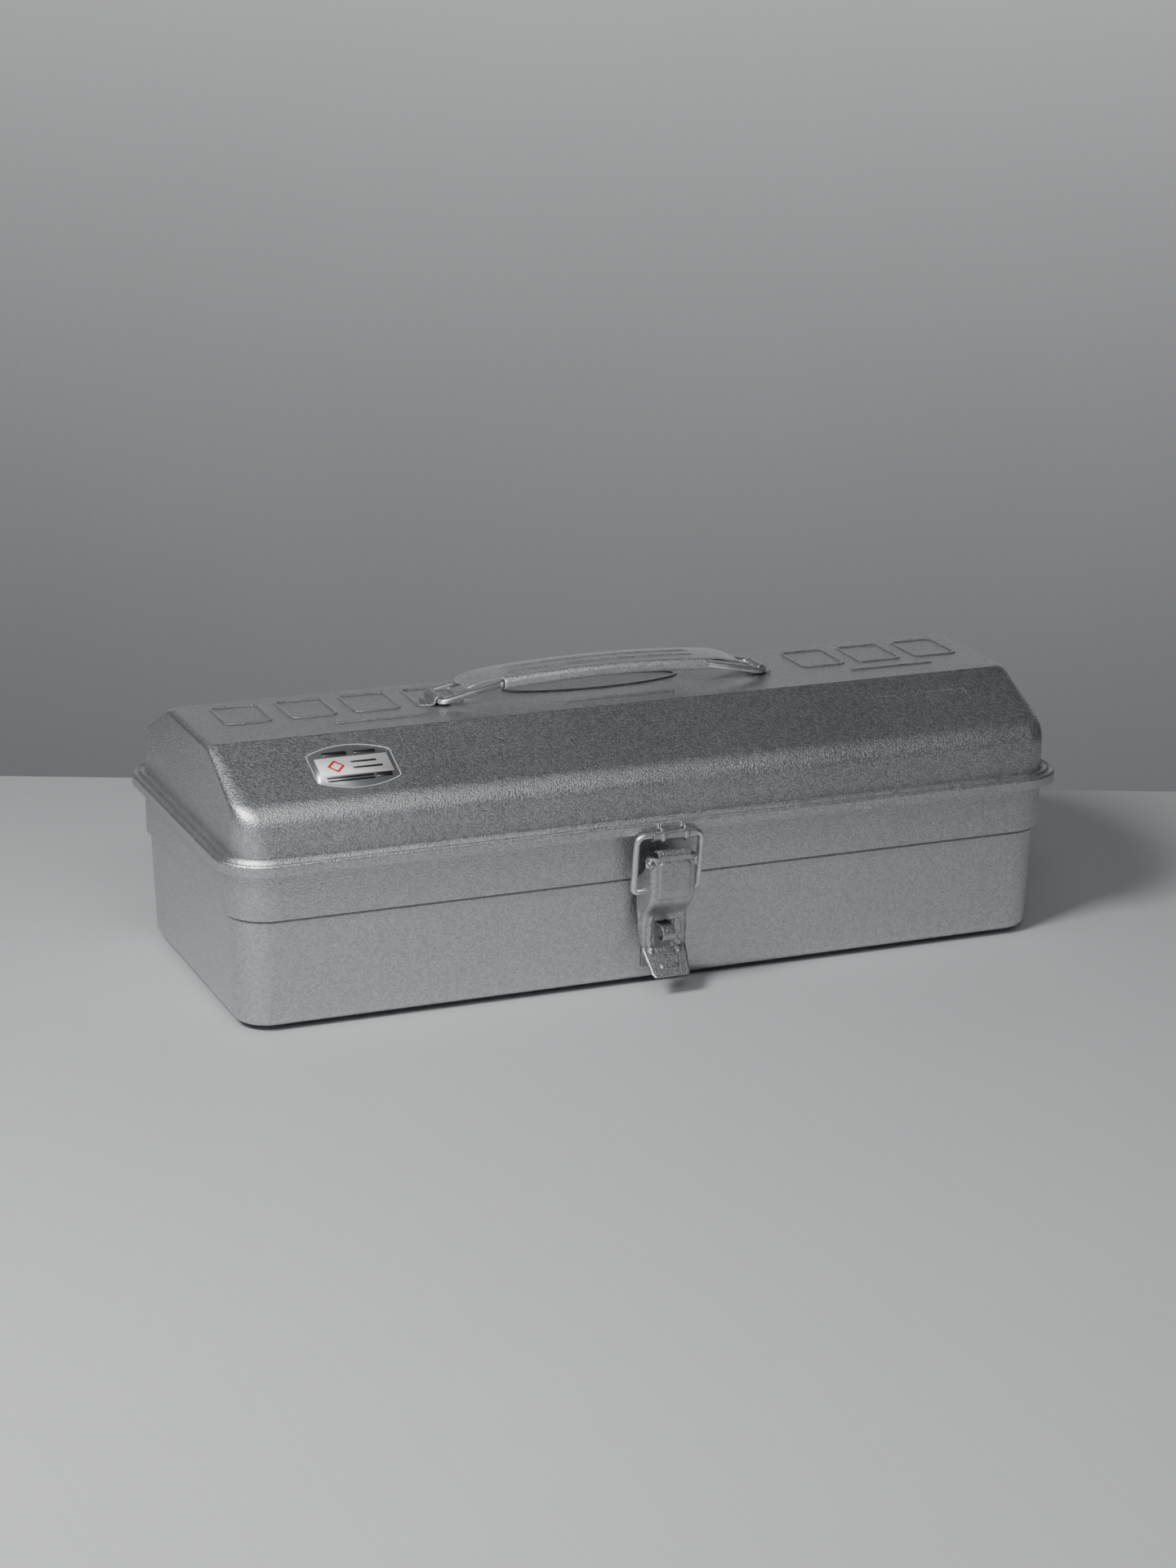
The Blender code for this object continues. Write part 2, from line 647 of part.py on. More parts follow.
def lever_face():
    """Middle line of the lever's sheet: thumb tab, neck and face, from the bottom up."""
    low = Vector((LEVER_FACE, LEVER_TAB_Z))
    line = round_path([low, (LEVER_NECK, LEVER_NECK_Z[0]), (LEVER_NECK, LEVER_NECK_Z[1]),
                       (LEVER_FACE, LEVER_FACE_Z[0]), (LEVER_FACE, 46.0 * MM)], [5.0 * MM] * 3, 4)
    tab = [low.lerp(line[1], share) for share in (0.0, 0.08, 0.2, 0.6)]
    heights = (47.5, 49.0, 50.5, 52.0, 53.5, 55.5, 56.6, 57.5, 58.1)
    face = [Vector((LEVER_FACE, z * MM)) for z in heights]
    return tab + line[1:] + face + [Vector((LEVER_FACE, LEVER_FACE_Z[1]))]


def lever_cap():
    """The rolled top edge, open at the back."""
    centre = (LEVER_FACE + PIN[0] - CURL) / 2
    return arc((centre, LEVER_FACE_Z[1]), LEVER_FACE - centre, 0, 150, 7)


def lever_back(z):
    """Distance forward of the flanges' back edges, which end in an ear round the pin."""
    if z <= PIN[1]:
        return blend(LEVER_BACK, z)
    return PIN[0] - (EAR_RADIUS ** 2 - (z - PIN[1]) ** 2) ** 0.5


def lever_row(point):
    """One level of the lever: flange, bend, face, bend, flange."""
    width = blend(LEVER_WIDTH, point[1])
    depth = max(point[0] - lever_back(point[1]), 0.4 * MM)
    bend = min(LEVER_BEND, depth * 0.8)
    half = [(blend(LEVER_EDGE, point[1]), depth)]
    for a in (0, 45, 90):
        turn = radians(a)
        half.append((width - bend + bend * cos(turn), bend - bend * sin(turn)))
    half.append((LEVER_FLAT, 0.0))
    section = [(-x, d) for x, d in half] + [(x, d) for x, d in reversed(half)]
    return [(LATCH_X + x, -(point[0] - d), point[1]) for x, d in section]


def latch_lever():
    """The pressed lever: thumb tab, windowed neck, flanged face with ears, rolled top."""
    face = lever_face()
    rows = [lever_row(point) for point in face]
    rows += [[(x, -point[0], point[1]) for x, y, z in rows[-1]] for point in lever_cap()[1:]]
    last = len(face) - 1
    sheet = sheet_grid(rows, lambda r, c: r < last or 3 <= c <= 5)
    item = add_object("latch_lever", sheet, SILVER, LEVER_AXIS)
    solidify(item, LATCH_SHEET, 0.0)
    low, high = WINDOW_Z
    window = box_cutter("lever_window_cutter", (LATCH_X - WINDOW_HALF, -80 * MM, low),
                        (LATCH_X + WINDOW_HALF, -70 * MM, high))
    cut_with(item, window)
    for name, place, radius in (("bail", BAIL_PIVOT, BAIL_WIRE), ("pin", PIN, PIN_RADIUS)):
        bar = pin_along_x(LATCH_X, -place[0], place[1], radius + GAP, 14 * MM)
        cut_with(item, add_object(name + "_bore_cutter", bar, SILVER))
    return item


def latch_bail():
    """The wire loop: two legs that turn in the lever's flanges and a straight top bar."""
    low, high = BAIL_PIVOT, BAIL_TOP
    corners = [(-BAIL_STUB, low), (-BAIL_HALF, low), (-BAIL_HALF, high),
               (BAIL_HALF, high), (BAIL_HALF, low), (BAIL_STUB, low)]
    points = [(LATCH_X + x, -p[0], p[1]) for x, p in corners]
    path = round_path(points, [1.9 * MM, BAIL_CORNER, BAIL_CORNER, 1.9 * MM], 5)
    return add_object("latch_bail", wire(path, BAIL_WIRE), BRIGHT_STEEL, BAIL_AXIS, 50.0)


def latch_pin():
    return add_object("latch_pin", pin_along_x(LATCH_X, -PIN[0], PIN[1], PIN_RADIUS, PIN_HALF),
                      BRIGHT_STEEL)


# ---------------------------------------------------------------- sticker

def sticker_outline():
    """Straight sides, bowed top and bottom, and rounded corners."""
    half, high = STICKER_SIZE[0] / 2, STICKER_SIZE[1] / 2
    bow = [(half * s, high + STICKER_BOW * (1 - s * s)) for s in (1.0, 0.6, 0.2, -0.2, -0.6, -1.0)]
    radii = [2.0 * MM] + [12.0 * MM] * 4 + [2.0 * MM]
    top = round_path([(half, 0.0)] + bow + [(-half, 0.0)], radii, 3)[:-1]
    return top + [-p for p in top]


def sticker():
    """A film label on the lid's front slope."""
    low = Vector((0.0, -LID_BEND_HALF[1], LID_BEND_Z))
    high = Vector((0.0, -LID_TOP_HALF[1], LID_TOP_Z))
    up = (high - low).normalized()
    out = Vector((0.0, -up.z, up.y))
    centre = low.lerp(high, 0.526) + Vector((STICKER_CENTRE_X, 0.0, 0.0))
    film = bmesh.new()
    layers = []
    for lift in (STICKER_GAP, STICKER_GAP + STICKER_SHEET):
        layers.append([film.verts.new(centre + Vector((p[0], 0, 0)) + up * p[1] + out * lift)
                       for p in sticker_outline()])
    film.faces.new(layers[0])
    film.faces.new(layers[1])
    count = len(layers[0])
    for i in range(count):
        j = (i + 1) % count
        film.faces.new((layers[0][i], layers[0][j], layers[1][j], layers[1][i]))
    return add_object("sticker", film, FILM, LID_AXIS)


# ---------------------------------------------------------------- assembly

clear_scene()
LID_AXIS = empty("lid_axis", (0.0, *HINGE_AXIS))
LEVER_AXIS = empty("lever_axis", (LATCH_X, -PIN[0], PIN[1]))
BAIL_AXIS = empty("bail_axis", (LATCH_X, -BAIL_PIVOT[0], BAIL_PIVOT[1]))
GRIP_AXIS = empty("grip_axis", (0.0, 0.0, TUBE_TOP_Z))
TRAY_AXIS = empty("tray_axis", (0.0, 0.0, TRAY_FLOOR_Z))
body_shell()
lid_shell()
tray()
tray_divider()
for side_name, hinge_x in zip(("left", "right"), HINGE_X):
    hinge_body_leaf("hinge_body_leaf_" + side_name, hinge_x)
    hinge_lid_leaf("hinge_lid_leaf_" + side_name, hinge_x)
    hinge_pin("hinge_pin_" + side_name, hinge_x)
handle_grip()
for side_name, side in (("left", -1), ("right", 1)):
    link_axis = empty("link_axis_" + side_name, (side * LINK_X, 0.0, link_height()))
    handle_link("handle_link_" + side_name, side, link_axis)
    handle_bridge("handle_bridge_" + side_name, side)
latch_base()
padlock_staple()
latch_pin()
latch_lever()
latch_bail()
latch_keeper()
sticker()
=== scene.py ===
"""Looks of the steel tool box: fine sheet-metal pieces, paint, label, light and camera.

Metres, +Z up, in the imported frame: +X runs along the box and -Y is the side with the latch.
"""

from math import cos, pi, radians, sin, tan

import bmesh
import bpy
from mathutils import Matrix, Vector


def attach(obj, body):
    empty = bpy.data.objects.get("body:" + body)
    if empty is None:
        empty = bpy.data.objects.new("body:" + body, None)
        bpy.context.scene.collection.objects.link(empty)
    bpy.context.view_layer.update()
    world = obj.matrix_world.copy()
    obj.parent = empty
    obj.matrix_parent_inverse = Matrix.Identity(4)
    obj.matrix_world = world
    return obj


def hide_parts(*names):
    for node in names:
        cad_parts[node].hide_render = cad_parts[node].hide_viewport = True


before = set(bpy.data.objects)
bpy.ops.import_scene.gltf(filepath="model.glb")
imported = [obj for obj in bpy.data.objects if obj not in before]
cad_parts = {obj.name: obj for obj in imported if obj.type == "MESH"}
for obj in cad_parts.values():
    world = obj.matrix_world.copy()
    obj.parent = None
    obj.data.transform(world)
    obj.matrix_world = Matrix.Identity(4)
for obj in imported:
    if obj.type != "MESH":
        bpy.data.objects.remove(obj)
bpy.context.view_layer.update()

MM = 0.001
SIDES = (("left", -1), ("right", 1))


def mm(*values):
    """Sizes in millimetres as metres."""
    return tuple(value * MM for value in values)


SHEET = 0.7 * MM
GAP = 0.3 * MM
CUT_EDGE = 0.12 * MM
CORNER_STEPS = 18
WIRE_SIDES = 28
WIRE_END = 0.75
WIRE_EASE = 0.4 * MM
ROUND_ANGLES = [2 * pi * k / WIRE_SIDES for k in range(WIRE_SIDES)]
MESH_STEP = 0.6 * MM
FINE_STEP = 0.3 * MM

# Body: half length, half width and height of its main levels
BOTTOM_HALF = mm(171.4, 65.4)
WAIST_HALF = mm(173.2, 67.4)
BAND_HALF = mm(175.0, 69.2)
BODY_RIM_HALF = mm(177.9, 73.4)
BOTTOM_RADIUS = 3.6 * MM
BODY_BENDS = (*mm(0.5, 1.0, 0.35, 0.15, 0.15, 0.4), BOTTOM_RADIUS, *mm(1.2, 1.2))
FOOT_GAP = 2.4 * MM
FOOT_INSET = 11.0 * MM
WAIST_Z = 45.5 * MM
CREASE = 0.7 * MM
BAND_Z = 46.4 * MM
BODY_RIM_Z = 68.4 * MM
BODY_LIP = 1.6 * MM
PLAN_RADIUS = 17.0 * MM
LEAST_RADIUS = 8.0 * MM

# Lid
LID_RIM_HALF = mm(179.5, 75.0)
LID_RIM_RADIUS = 20.0 * MM
LID_SKIRT_Z = 65.9 * MM
LID_FLANGE_Z = 70.4 * MM
LID_EDGE_RADIUS = 1.2 * MM
LID_GROOVE = mm(2.35, 69.65)
LID_BEAD = mm(3.6, 71.1)
LID_ROOT = mm(4.9, 70.0)
LID_WALL_HALF = mm(173.6, 69.3)
LID_BEND_HALF = mm(172.9, 66.4)
LID_BEND_Z = 88.0 * MM
LID_TOP_HALF = mm(172.6, 27.8)
LID_TOP_Z = 105.2 * MM
LID_CORNER_LOW = 14.2 * MM
LID_CORNER_BEND = 8.5 * MM
LID_CORNER_HIGH = 4.0 * MM
LID_END_BEND = 2.4 * MM
LID_LOW_BEND = 12.0 * MM
LID_HIGH_BEND = 3.0 * MM
NAME_PANEL_X = mm(97.7, 148.2)
NAME_PANEL_Y = mm(-54.8, -37.3)
NAME_PANEL_DEPTH = 0.4 * MM

# Raised work on the lid's top
PAD_HEIGHT = 0.45 * MM
PAD_SLOPE = 0.8 * MM
PADS = (("left", mm(-148.0, -121.5, -95.0, -68.5)), ("right", mm(101.0, 127.0, 153.0)))
PAD_HALF = mm(10.5, 13.0)
PAD_Y = 9.0 * MM
OVAL_HALF = mm(39.0, 11.0)
OVAL_Y = 8.0 * MM
LID_BARS = (("left", mm(-98, -14.5), 20 * MM),
            ("right", mm(127, -12.5), 19 * MM),
            ("middle", mm(3, -15.5), 24 * MM))

# Tray and its divider
TRAY_RIM_HALF = mm(173.9, 68.1)
TRAY_WALL_HALF = mm(170.6, 64.8)
TRAY_FLOOR_HALF = mm(169.4, 63.6)
TRAY_PLAN_RADIUS = 16.0 * MM
TRAY_RIM_Z = BAND_Z + GAP + SHEET
TRAY_FLOOR_Z = TRAY_RIM_Z - 20.0 * MM
FINGER_HOLE = mm(34.0, 9.0)
DIVIDER_X = 38.0 * MM
DIVIDER_HEIGHT = 14.0 * MM
DIVIDER_FOOT = 9.0 * MM

# Rear hinges
HINGE_X = mm(-105.0, 105.0)
HINGE_AXIS = mm(79.5, 69.0)
HINGE_WIDTH = 32.0 * MM
HINGE_MIDDLE = 12.0 * MM
HINGE_SHEET = 1.0 * MM
HINGE_PIN_RADIUS = 1.25 * MM
HINGE_CURL = 2.1 * MM
HINGE_LOWER_Z = mm(49, 58.5, 64.5)
HINGE_UPPER_Z = 82.5 * MM
HINGE_WELDS_Z = mm(53.5, 77.3)
WELD_RADIUS = 1.8 * MM
WELD_DEPTH = 0.45 * MM

# Handle
GRIP_HALF = 60.0 * MM
TUBE_HALF = 44.3 * MM
TUBE_Y = 8.3 * MM
TUBE_RADIUS = 2.2 * MM
TUBE_TOP_Z = 114.45 * MM
TUBE_DROP = 1.7 * MM
CROWN_RISE = 0.25 * MM
TONGUE_DROP = 2.2 * MM
TONGUE_CORNER = 3.0 * MM
GRIP_SHEET = 0.6 * MM
GRIP_RIB_Y = 3.0 * MM
GRIP_RIB_HALF = 1.1 * MM
GRIP_RIB_HEIGHT = 0.45 * MM
GRIP_RIB_END = 42.0 * MM
LINK_X = 70.5 * MM
LINK_WIRE = 1.2 * MM
LINK_HEIGHT = LID_TOP_Z + GAP + LINK_WIRE + 0.4 * MM
LINK_ANGLE = radians(11.5)
LINK_INSERT = 5.0 * MM
LINK_CORNER = 3.0 * MM
BRIDGE_HALF = 6.0 * MM
BRIDGE_FOOT = 2.6 * MM

# Latch, in distance forward of the box's centre plane and height
LATCH_X = -1.45 * MM
PIN = mm(80.6, 55.5)
PIN_HALF = 10.25 * MM
RIVET_RADIUS = 1.15 * MM
RIVET_DISH = 0.4 * MM
LATCH_SHEET = 0.8 * MM
CURL = 1.7 * MM
BAIL_PIVOT = mm(74.3, 42.3)
BAIL_TOP = mm(77.7, 65.9)
BAIL_HALF = 13.55 * MM
BAIL_WIRE = 1.3 * MM
BAIL_CORNER = 3.2 * MM
BAIL_FOOT_CORNER = 1.9 * MM
BAIL_STUB = 9.0 * MM
KEEPER_X = 0.2 * MM
KEEPER_HALF = 9.1 * MM
KEEPER_LIP = 1.1 * MM
KEEPER_STRAP_X = 4.95 * MM
KEEPER_STRAP_HALF = 0.8 * MM
KEEPER_STRAP_Z = mm(67.8, 70.0)
KEEPER_RIB = 0.85 * MM
KEEPER_RIB_HALF = 0.9 * MM
BASE_LOW = 7.8 * MM
BASE_SHELF = 41.2 * MM
BASE_HALF = 6.2 * MM
TONGUE_HALF = 4.3 * MM
STAPLE_HALF = 2.6 * MM
STAPLE_Z = mm(27.7, 21.3)
STAPLE_FRONT = 76.0 * MM

# Lever: face, neck and thumb tab, and its width and back edge at each height
LEVER_FACE = 83.1 * MM
LEVER_NECK = 73.9 * MM
LEVER_TAB_Z = 8.9 * MM
LEVER_NECK_Z = mm(18.1, 31.4)
LEVER_FACE_Z = mm(40.6, 58.4)
LEVER_BEND = 2.3 * MM
LEVER_CURVES = mm(5.0, 10.0, 12.0)
FLANGE_STEPS = 6
BEND_STEPS = 12
WINDOW_HALF = 4.25 * MM
WINDOW_Z = mm(18.0, 29.5)
EAR_RADIUS = 3.0 * MM
LEVER_WIDTH = (mm(8.9, 7.0), mm(10.4, 7.8), mm(18, 8.7), mm(36, 9.3))
LEVER_EDGE = (mm(8.9, 7.2), mm(10.4, 8.1), mm(18, 9.3), mm(28, 10.3), mm(47, 10.2), mm(55, 9.5))
LEVER_BACK = (mm(13, 84), mm(18, 74.6), mm(21, 73.0), mm(28, 71.9),
              mm(36, 71), mm(46, 71), mm(53, 77.2), mm(55.5, 77.6))
PANEL_HALF = 6.5 * MM
PANEL_Z = mm(41.1, 56.3)
PANEL_RISE = 0.55 * MM
PANEL_SLOPE = 0.4 * MM
PANEL_CORNER = 1.6 * MM
CAP_GROOVE_Z = 56.75 * MM
CAP_GROOVE_HALF = 0.45 * MM
CAP_GROOVE_DEPTH = 0.2 * MM
COLLAR = mm(7.2, 10.35)
COLLAR_RADIUS = 2.65 * MM
COLLAR_ROUND = 0.4 * MM
COLLAR_BORE = 2.05 * MM
CRESCENT_Z = mm(15.3, 32.5)
CRESCENT_X = 5.5 * MM
CRESCENT_HALF = 0.8 * MM
CRESCENT_BOW = 0.95 * MM
CRESCENT_RISE = 1.1 * MM
TAB_MARK_HALF = 4.3 * MM
TAB_MARK_Z = mm(11.4, 12.7)
TAB_MARK_RISE = 0.45 * MM
TAB_MARK_SLOPE = 0.35 * MM

# Label on the lid's front slope, in X and in distance up the slope from its own centre
LABEL_X = -120.2 * MM
LABEL_HEIGHT = 0.526
LABEL_SIZE = mm(34.0, 16.4)
LABEL_BOW = 4.5 * MM
LABEL_EDGE = 0.35 * MM
LABEL_CORNER = 2.0 * MM
LABEL_PANEL = mm(14.6, 5.2)
LABEL_PANEL_PLACE = mm(0.3, 0.4)
LABEL_MARK_PLACE = mm(-7.0, 0.4)
# Each dark bar's middle and half size, in millimetres
LABEL_BARS = (
    ((4.6, 2.2), (5.2, 0.55)), ((5.4, -1.2), (6.0, 0.55)),
    ((-5.6, 7.7), (5.0, 1.1)), ((6.6, 7.6), (4.4, 0.8)),
    ((-3.2, -6.2), (9.4, 0.5)), ((-3.2, -7.9), (9.4, 0.5)), ((10.4, -6.7), (3.2, 1.2)),
)


# ------ geometry helpers

def smooth(t):
    """An eased share from 0 to 1."""
    t = min(max(t, 0.0), 1.0)
    return t * t * (3 - 2 * t)


def between(low, high, share):
    """The value at a share of the way from low to high."""
    return low + (high - low) * share


def blend(table, z):
    """Read a (height, value) table with a smooth step between its rows."""
    if z <= table[0][0]:
        return table[0][1]
    for (z0, v0), (z1, v1) in zip(table, table[1:]):
        if z <= z1:
            return between(v0, v1, smooth((z - z0) / (z1 - z0)))
    return table[-1][1]


def ridge(distance, half):
    """A rounded ridge's height share at a distance from its middle line."""
    return smooth(1.0 - abs(distance) / half)


def round_path(points, radii, steps):
    """A polyline with an arc of the given radius at each inner corner."""
    points = [Vector(p) for p in points]
    out = [points[0]]
    for before, corner, after, radius in zip(points, points[1:], points[2:], radii):
        to_before = (before - corner).normalized()
        to_after = (after - corner).normalized()
        half = to_before.angle(to_after) / 2
        centre = corner + (to_before + to_after).normalized() * radius / sin(half)
        start = corner + to_before * radius / tan(half) - centre
        end = corner + to_after * radius / tan(half) - centre
        sweep = start.angle(end)
        for i in range(steps + 1):
            a = sweep * i / steps
            out.append(centre + (start * sin(sweep - a) + end * sin(a)) / sin(sweep))
    out.append(points[-1])
    return out


def arc(centre, radius, first, last, steps):
    """Points of a plane arc, with its angles in degrees."""
    angles = [radians(first + (last - first) * i / steps) for i in range(steps + 1)]
    return [Vector((centre[0] + radius * cos(a), centre[1] + radius * sin(a))) for a in angles]


def resample(path, spacing):
    """The same path with its long runs cut into equal steps."""
    out = [path[0]]
    for one, two in zip(path, path[1:]):
        count = max(1, round((two - one).length / spacing))
        out += [one.lerp(two, i / count) for i in range(1, count + 1)]
    return out


def stations_between(marks, spacing):
    """Rising values that hit every mark, with even steps between them."""
    out = [marks[0]]
    for low, high in zip(marks, marks[1:]):
        count = max(1, round((high - low) / spacing))
        out += [low + (high - low) * i / count for i in range(1, count + 1)]
    return out


def rounded_rectangle(half_x, half_y, radius, z=0.0, steps=CORNER_STEPS):
    """One level of a shell: a closed loop with four rounded corners."""
    loop = []
    for quarter, (sx, sy) in enumerate(((1, 1), (-1, 1), (-1, -1), (1, -1))):
        for i in range(steps + 1):
            a = (quarter + i / steps) * pi / 2
            x = sx * (half_x - radius) + radius * cos(a)
            y = sy * (half_y - radius) + radius * sin(a)
            loop.append(Vector((x, y, z)))
    return loop


def ellipse(half_x, half_y, steps=96):
    """A closed oval loop at height zero."""
    turn = [2 * pi * i / steps for i in range(steps)]
    return [Vector((half_x * cos(a), half_y * sin(a), 0.0)) for a in turn]


def join_loops(mesh_data, loops):
    """Quads between each loop of vertices and the next."""
    for low, high in zip(loops, loops[1:]):
        for i in range(len(low)):
            j = (i + 1) % len(low)
            mesh_data.faces.new((low[i], low[j], high[j], high[i]))


def skin_levels(levels):
    """An open shell through rounded rectangles, closed flat at its last level."""
    shell = bmesh.new()
    loops = []
    for level in levels:
        loop = [shell.verts.new(p) for p in rounded_rectangle(*level)]
        upwards = levels[-1][3] > levels[0][3]
        loops.append(loop if upwards else list(reversed(loop)))
    join_loops(shell, loops)
    shell.faces.new(loops[-1])
    return shell


def closed_relief(loops, ring=False):
    """A closed solid through loops of points; a ring's last loop joins its first."""
    solid = bmesh.new()
    made = [[solid.verts.new(p) for p in loop] for loop in loops]
    if ring:
        made.append(made[0])
    join_loops(solid, made)
    if not ring:
        solid.faces.new(made[0])
        solid.faces.new(made[-1])
    return solid


def sheet_grid(rows, keep=None):
    """A sheet through rows of points; keep(row, column) says which cells are there."""
    sheet = bmesh.new()
    grid = [[sheet.verts.new(p) for p in row] for row in rows]
    for r in range(len(grid) - 1):
        for c in range(len(grid[0]) - 1):
            if keep is None or keep(r, c):
                sheet.faces.new((grid[r][c], grid[r][c + 1], grid[r + 1][c + 1], grid[r + 1][c]))
    loose = [v for v in sheet.verts if not v.link_faces]
    bmesh.ops.delete(sheet, geom=loose, context="VERTS")
    return sheet


def direction(path, i):
    """A path's direction at one of its points."""
    return (path[min(i + 1, len(path) - 1)] - path[max(i - 1, 0)]).normalized()


def relief_strip(path, stations, relief=None, keep=None):
    """A sheet bent along a (y, z) path, raised by relief(point, x), where keep(row, x) holds."""
    rows = []
    for i, p in enumerate(path):
        along = direction(path, i)
        out = Vector((-along[1], along[0]))
        rows.append([])
        for x in stations:
            q = p + out * relief(p, x) if relief else p
            rows[-1].append((x, q[0], q[1]))
    middles = [(low + high) / 2 for low, high in zip(stations, stations[1:])]
    return sheet_grid(rows, keep and (lambda r, c: keep(r, middles[c])))


def wire(path, radius):
    """A round wire along a smooth path, with softened flat ends."""
    first = path[0] + (path[1] - path[0]).normalized() * WIRE_EASE
    last = path[-1] + (path[-2] - path[-1]).normalized() * WIRE_EASE
    points = [path[0], first] + path[1:-1] + [last, path[-1]]
    side = None
    rings = []
    for i, point in enumerate(points):
        along = direction(points, i)
        side = along.orthogonal() if side is None else side - along * side.dot(along)
        side.normalize()
        up = along.cross(side)
        reach = radius * (WIRE_END if i in (0, len(points) - 1) else 1.0)
        rings.append([point + (side * cos(a) + up * sin(a)) * reach for a in ROUND_ANGLES])
    return closed_relief(rings)


def turned(centre, profile, ring=False):
    """A solid turned round an X axis through centre, from (x, radius) points."""
    loops = []
    for x, r in profile:
        loops.append([(centre[0] + x, centre[1] + r * cos(a), centre[2] + r * sin(a))
                      for a in ROUND_ANGLES])
    return closed_relief(loops, ring)


# ------ materials

class Nodes:
    """A small wrapper that adds and links shader nodes."""

    def __init__(self, name):
        self.material = bpy.data.materials.new(name)
        self.material.use_nodes = True
        self.tree = self.material.node_tree
        self.shader = self.tree.nodes["Principled BSDF"]
        self.place = self.add("TexCoord").outputs["Object"]

    def add(self, kind, inputs=None, **settings):
        node = self.tree.nodes.new("ShaderNode" + kind)
        for key, value in settings.items():
            setattr(node, key, value)
        for key, value in (inputs or {}).items():
            self.feed(node.inputs[key], value)
        return node

    def feed(self, socket, value):
        if isinstance(value, bpy.types.NodeSocket):
            self.tree.links.new(value, socket)
        else:
            socket.default_value = value

    def noise(self, scale, detail=2.0, roughness=0.5, place=None):
        made = self.add("TexNoise", {"Vector": place or self.place, "Scale": scale,
                                     "Detail": detail, "Roughness": roughness})
        return made.outputs["Fac"]

    def ramp(self, value, low, high, out_low, out_high):
        made = self.add("MapRange", {"Value": value, "From Min": low, "From Max": high,
                                     "To Min": out_low, "To Max": out_high})
        return made.outputs["Result"]

    def mix(self, share, one, two):
        made = self.add("Mix", {"Factor": share}, data_type="RGBA")
        self.feed(made.inputs["A"], one)
        self.feed(made.inputs["B"], two)
        return made.outputs["Result"]

    def bump(self, height, distance, normal=None):
        inputs = {"Height": height, "Distance": distance}
        if normal:
            inputs["Normal"] = normal
        return self.add("Bump", inputs).outputs["Normal"]

    def set(self, **values):
        for key, value in values.items():
            self.feed(self.shader.inputs[key.replace("_", " ")], value)
        return self.material


def colour(value):
    """A grey with a faint cold tint."""
    return (value * 0.985, value, value * 1.015, 1.0)


FLAKE_SCALE = 1500.0
GRAIN_DEPTH = 0.24 * MM
PEEL_DEPTH = 0.035 * MM


def flake_paint(name, tone, roughness, metallic=0.9, grain=1.0):
    """Silver flake paint: fine glittering grain over a soft orange-peel surface."""
    n = Nodes(name)
    grain_noise = n.noise(FLAKE_SCALE, 2.0, 0.6)
    flakes = n.add("TexVoronoi", {"Vector": n.place, "Scale": FLAKE_SCALE}).outputs["Color"]
    flake = n.add("SeparateColor", {"Color": flakes}).outputs["Red"]
    cloud = n.noise(14.0, 3.0)
    fine = n.ramp(flake, 0.0, 1.0, 0.5 - 0.30 * grain, 0.5 + 0.30 * grain)
    tone_colour = n.mix(fine, colour(tone * 0.72), colour(tone * 1.28))
    worn = n.mix(n.ramp(cloud, 0.35, 0.65, 0.0, 0.10), tone_colour, colour(tone * 1.1))
    rough = n.add("Math", {0: n.ramp(cloud, 0.3, 0.7, roughness - 0.025, roughness + 0.025),
                           1: n.ramp(flake, 0.0, 1.0, -0.05, 0.05)}, operation="ADD")
    peel = n.bump(n.noise(420.0, 1.0), PEEL_DEPTH)
    surface = n.bump(grain_noise, GRAIN_DEPTH * grain, peel)
    return n.set(Base_Color=worn, Metallic=metallic, Roughness=rough.outputs["Value"],
                 Normal=surface)


def plated_steel(name, tone, roughness):
    """Bright plating with fine drawing lines and a little mottling."""
    n = Nodes(name)
    stretched = n.add("Mapping", {"Vector": n.place, "Scale": (0.25, 1.0, 1.0)}).outputs["Vector"]
    lines = n.noise(3200.0, 3.0, 0.6, stretched)
    mottle = n.noise(260.0, 3.0)
    tone_colour = n.mix(n.ramp(mottle, 0.35, 0.65, 0.0, 1.0), colour(tone * 0.86), colour(tone * 1.08))
    rough = n.ramp(lines, 0.3, 0.7, roughness - 0.06, roughness + 0.07)
    surface = n.bump(lines, 0.012 * MM)
    return n.set(Base_Color=tone_colour, Metallic=1.0, Roughness=rough, Normal=surface)


def printed(name, rgb, roughness, metallic=0.0, coat=0.3):
    """Printing ink or film with a faint tooth."""
    n = Nodes(name)
    tooth = n.noise(2600.0)
    cloud = n.noise(120.0)
    tone_colour = n.mix(n.ramp(cloud, 0.3, 0.7, 0.0, 1.0), (*[c * 0.94 for c in rgb], 1.0), (*rgb, 1.0))
    rough = n.ramp(tooth, 0.3, 0.7, roughness - 0.04, roughness + 0.04)
    surface = n.bump(tooth, 0.006 * MM)
    return n.set(Base_Color=tone_colour, Metallic=metallic, Roughness=rough, Normal=surface,
                 Coat_Weight=coat, Coat_Roughness=0.2)


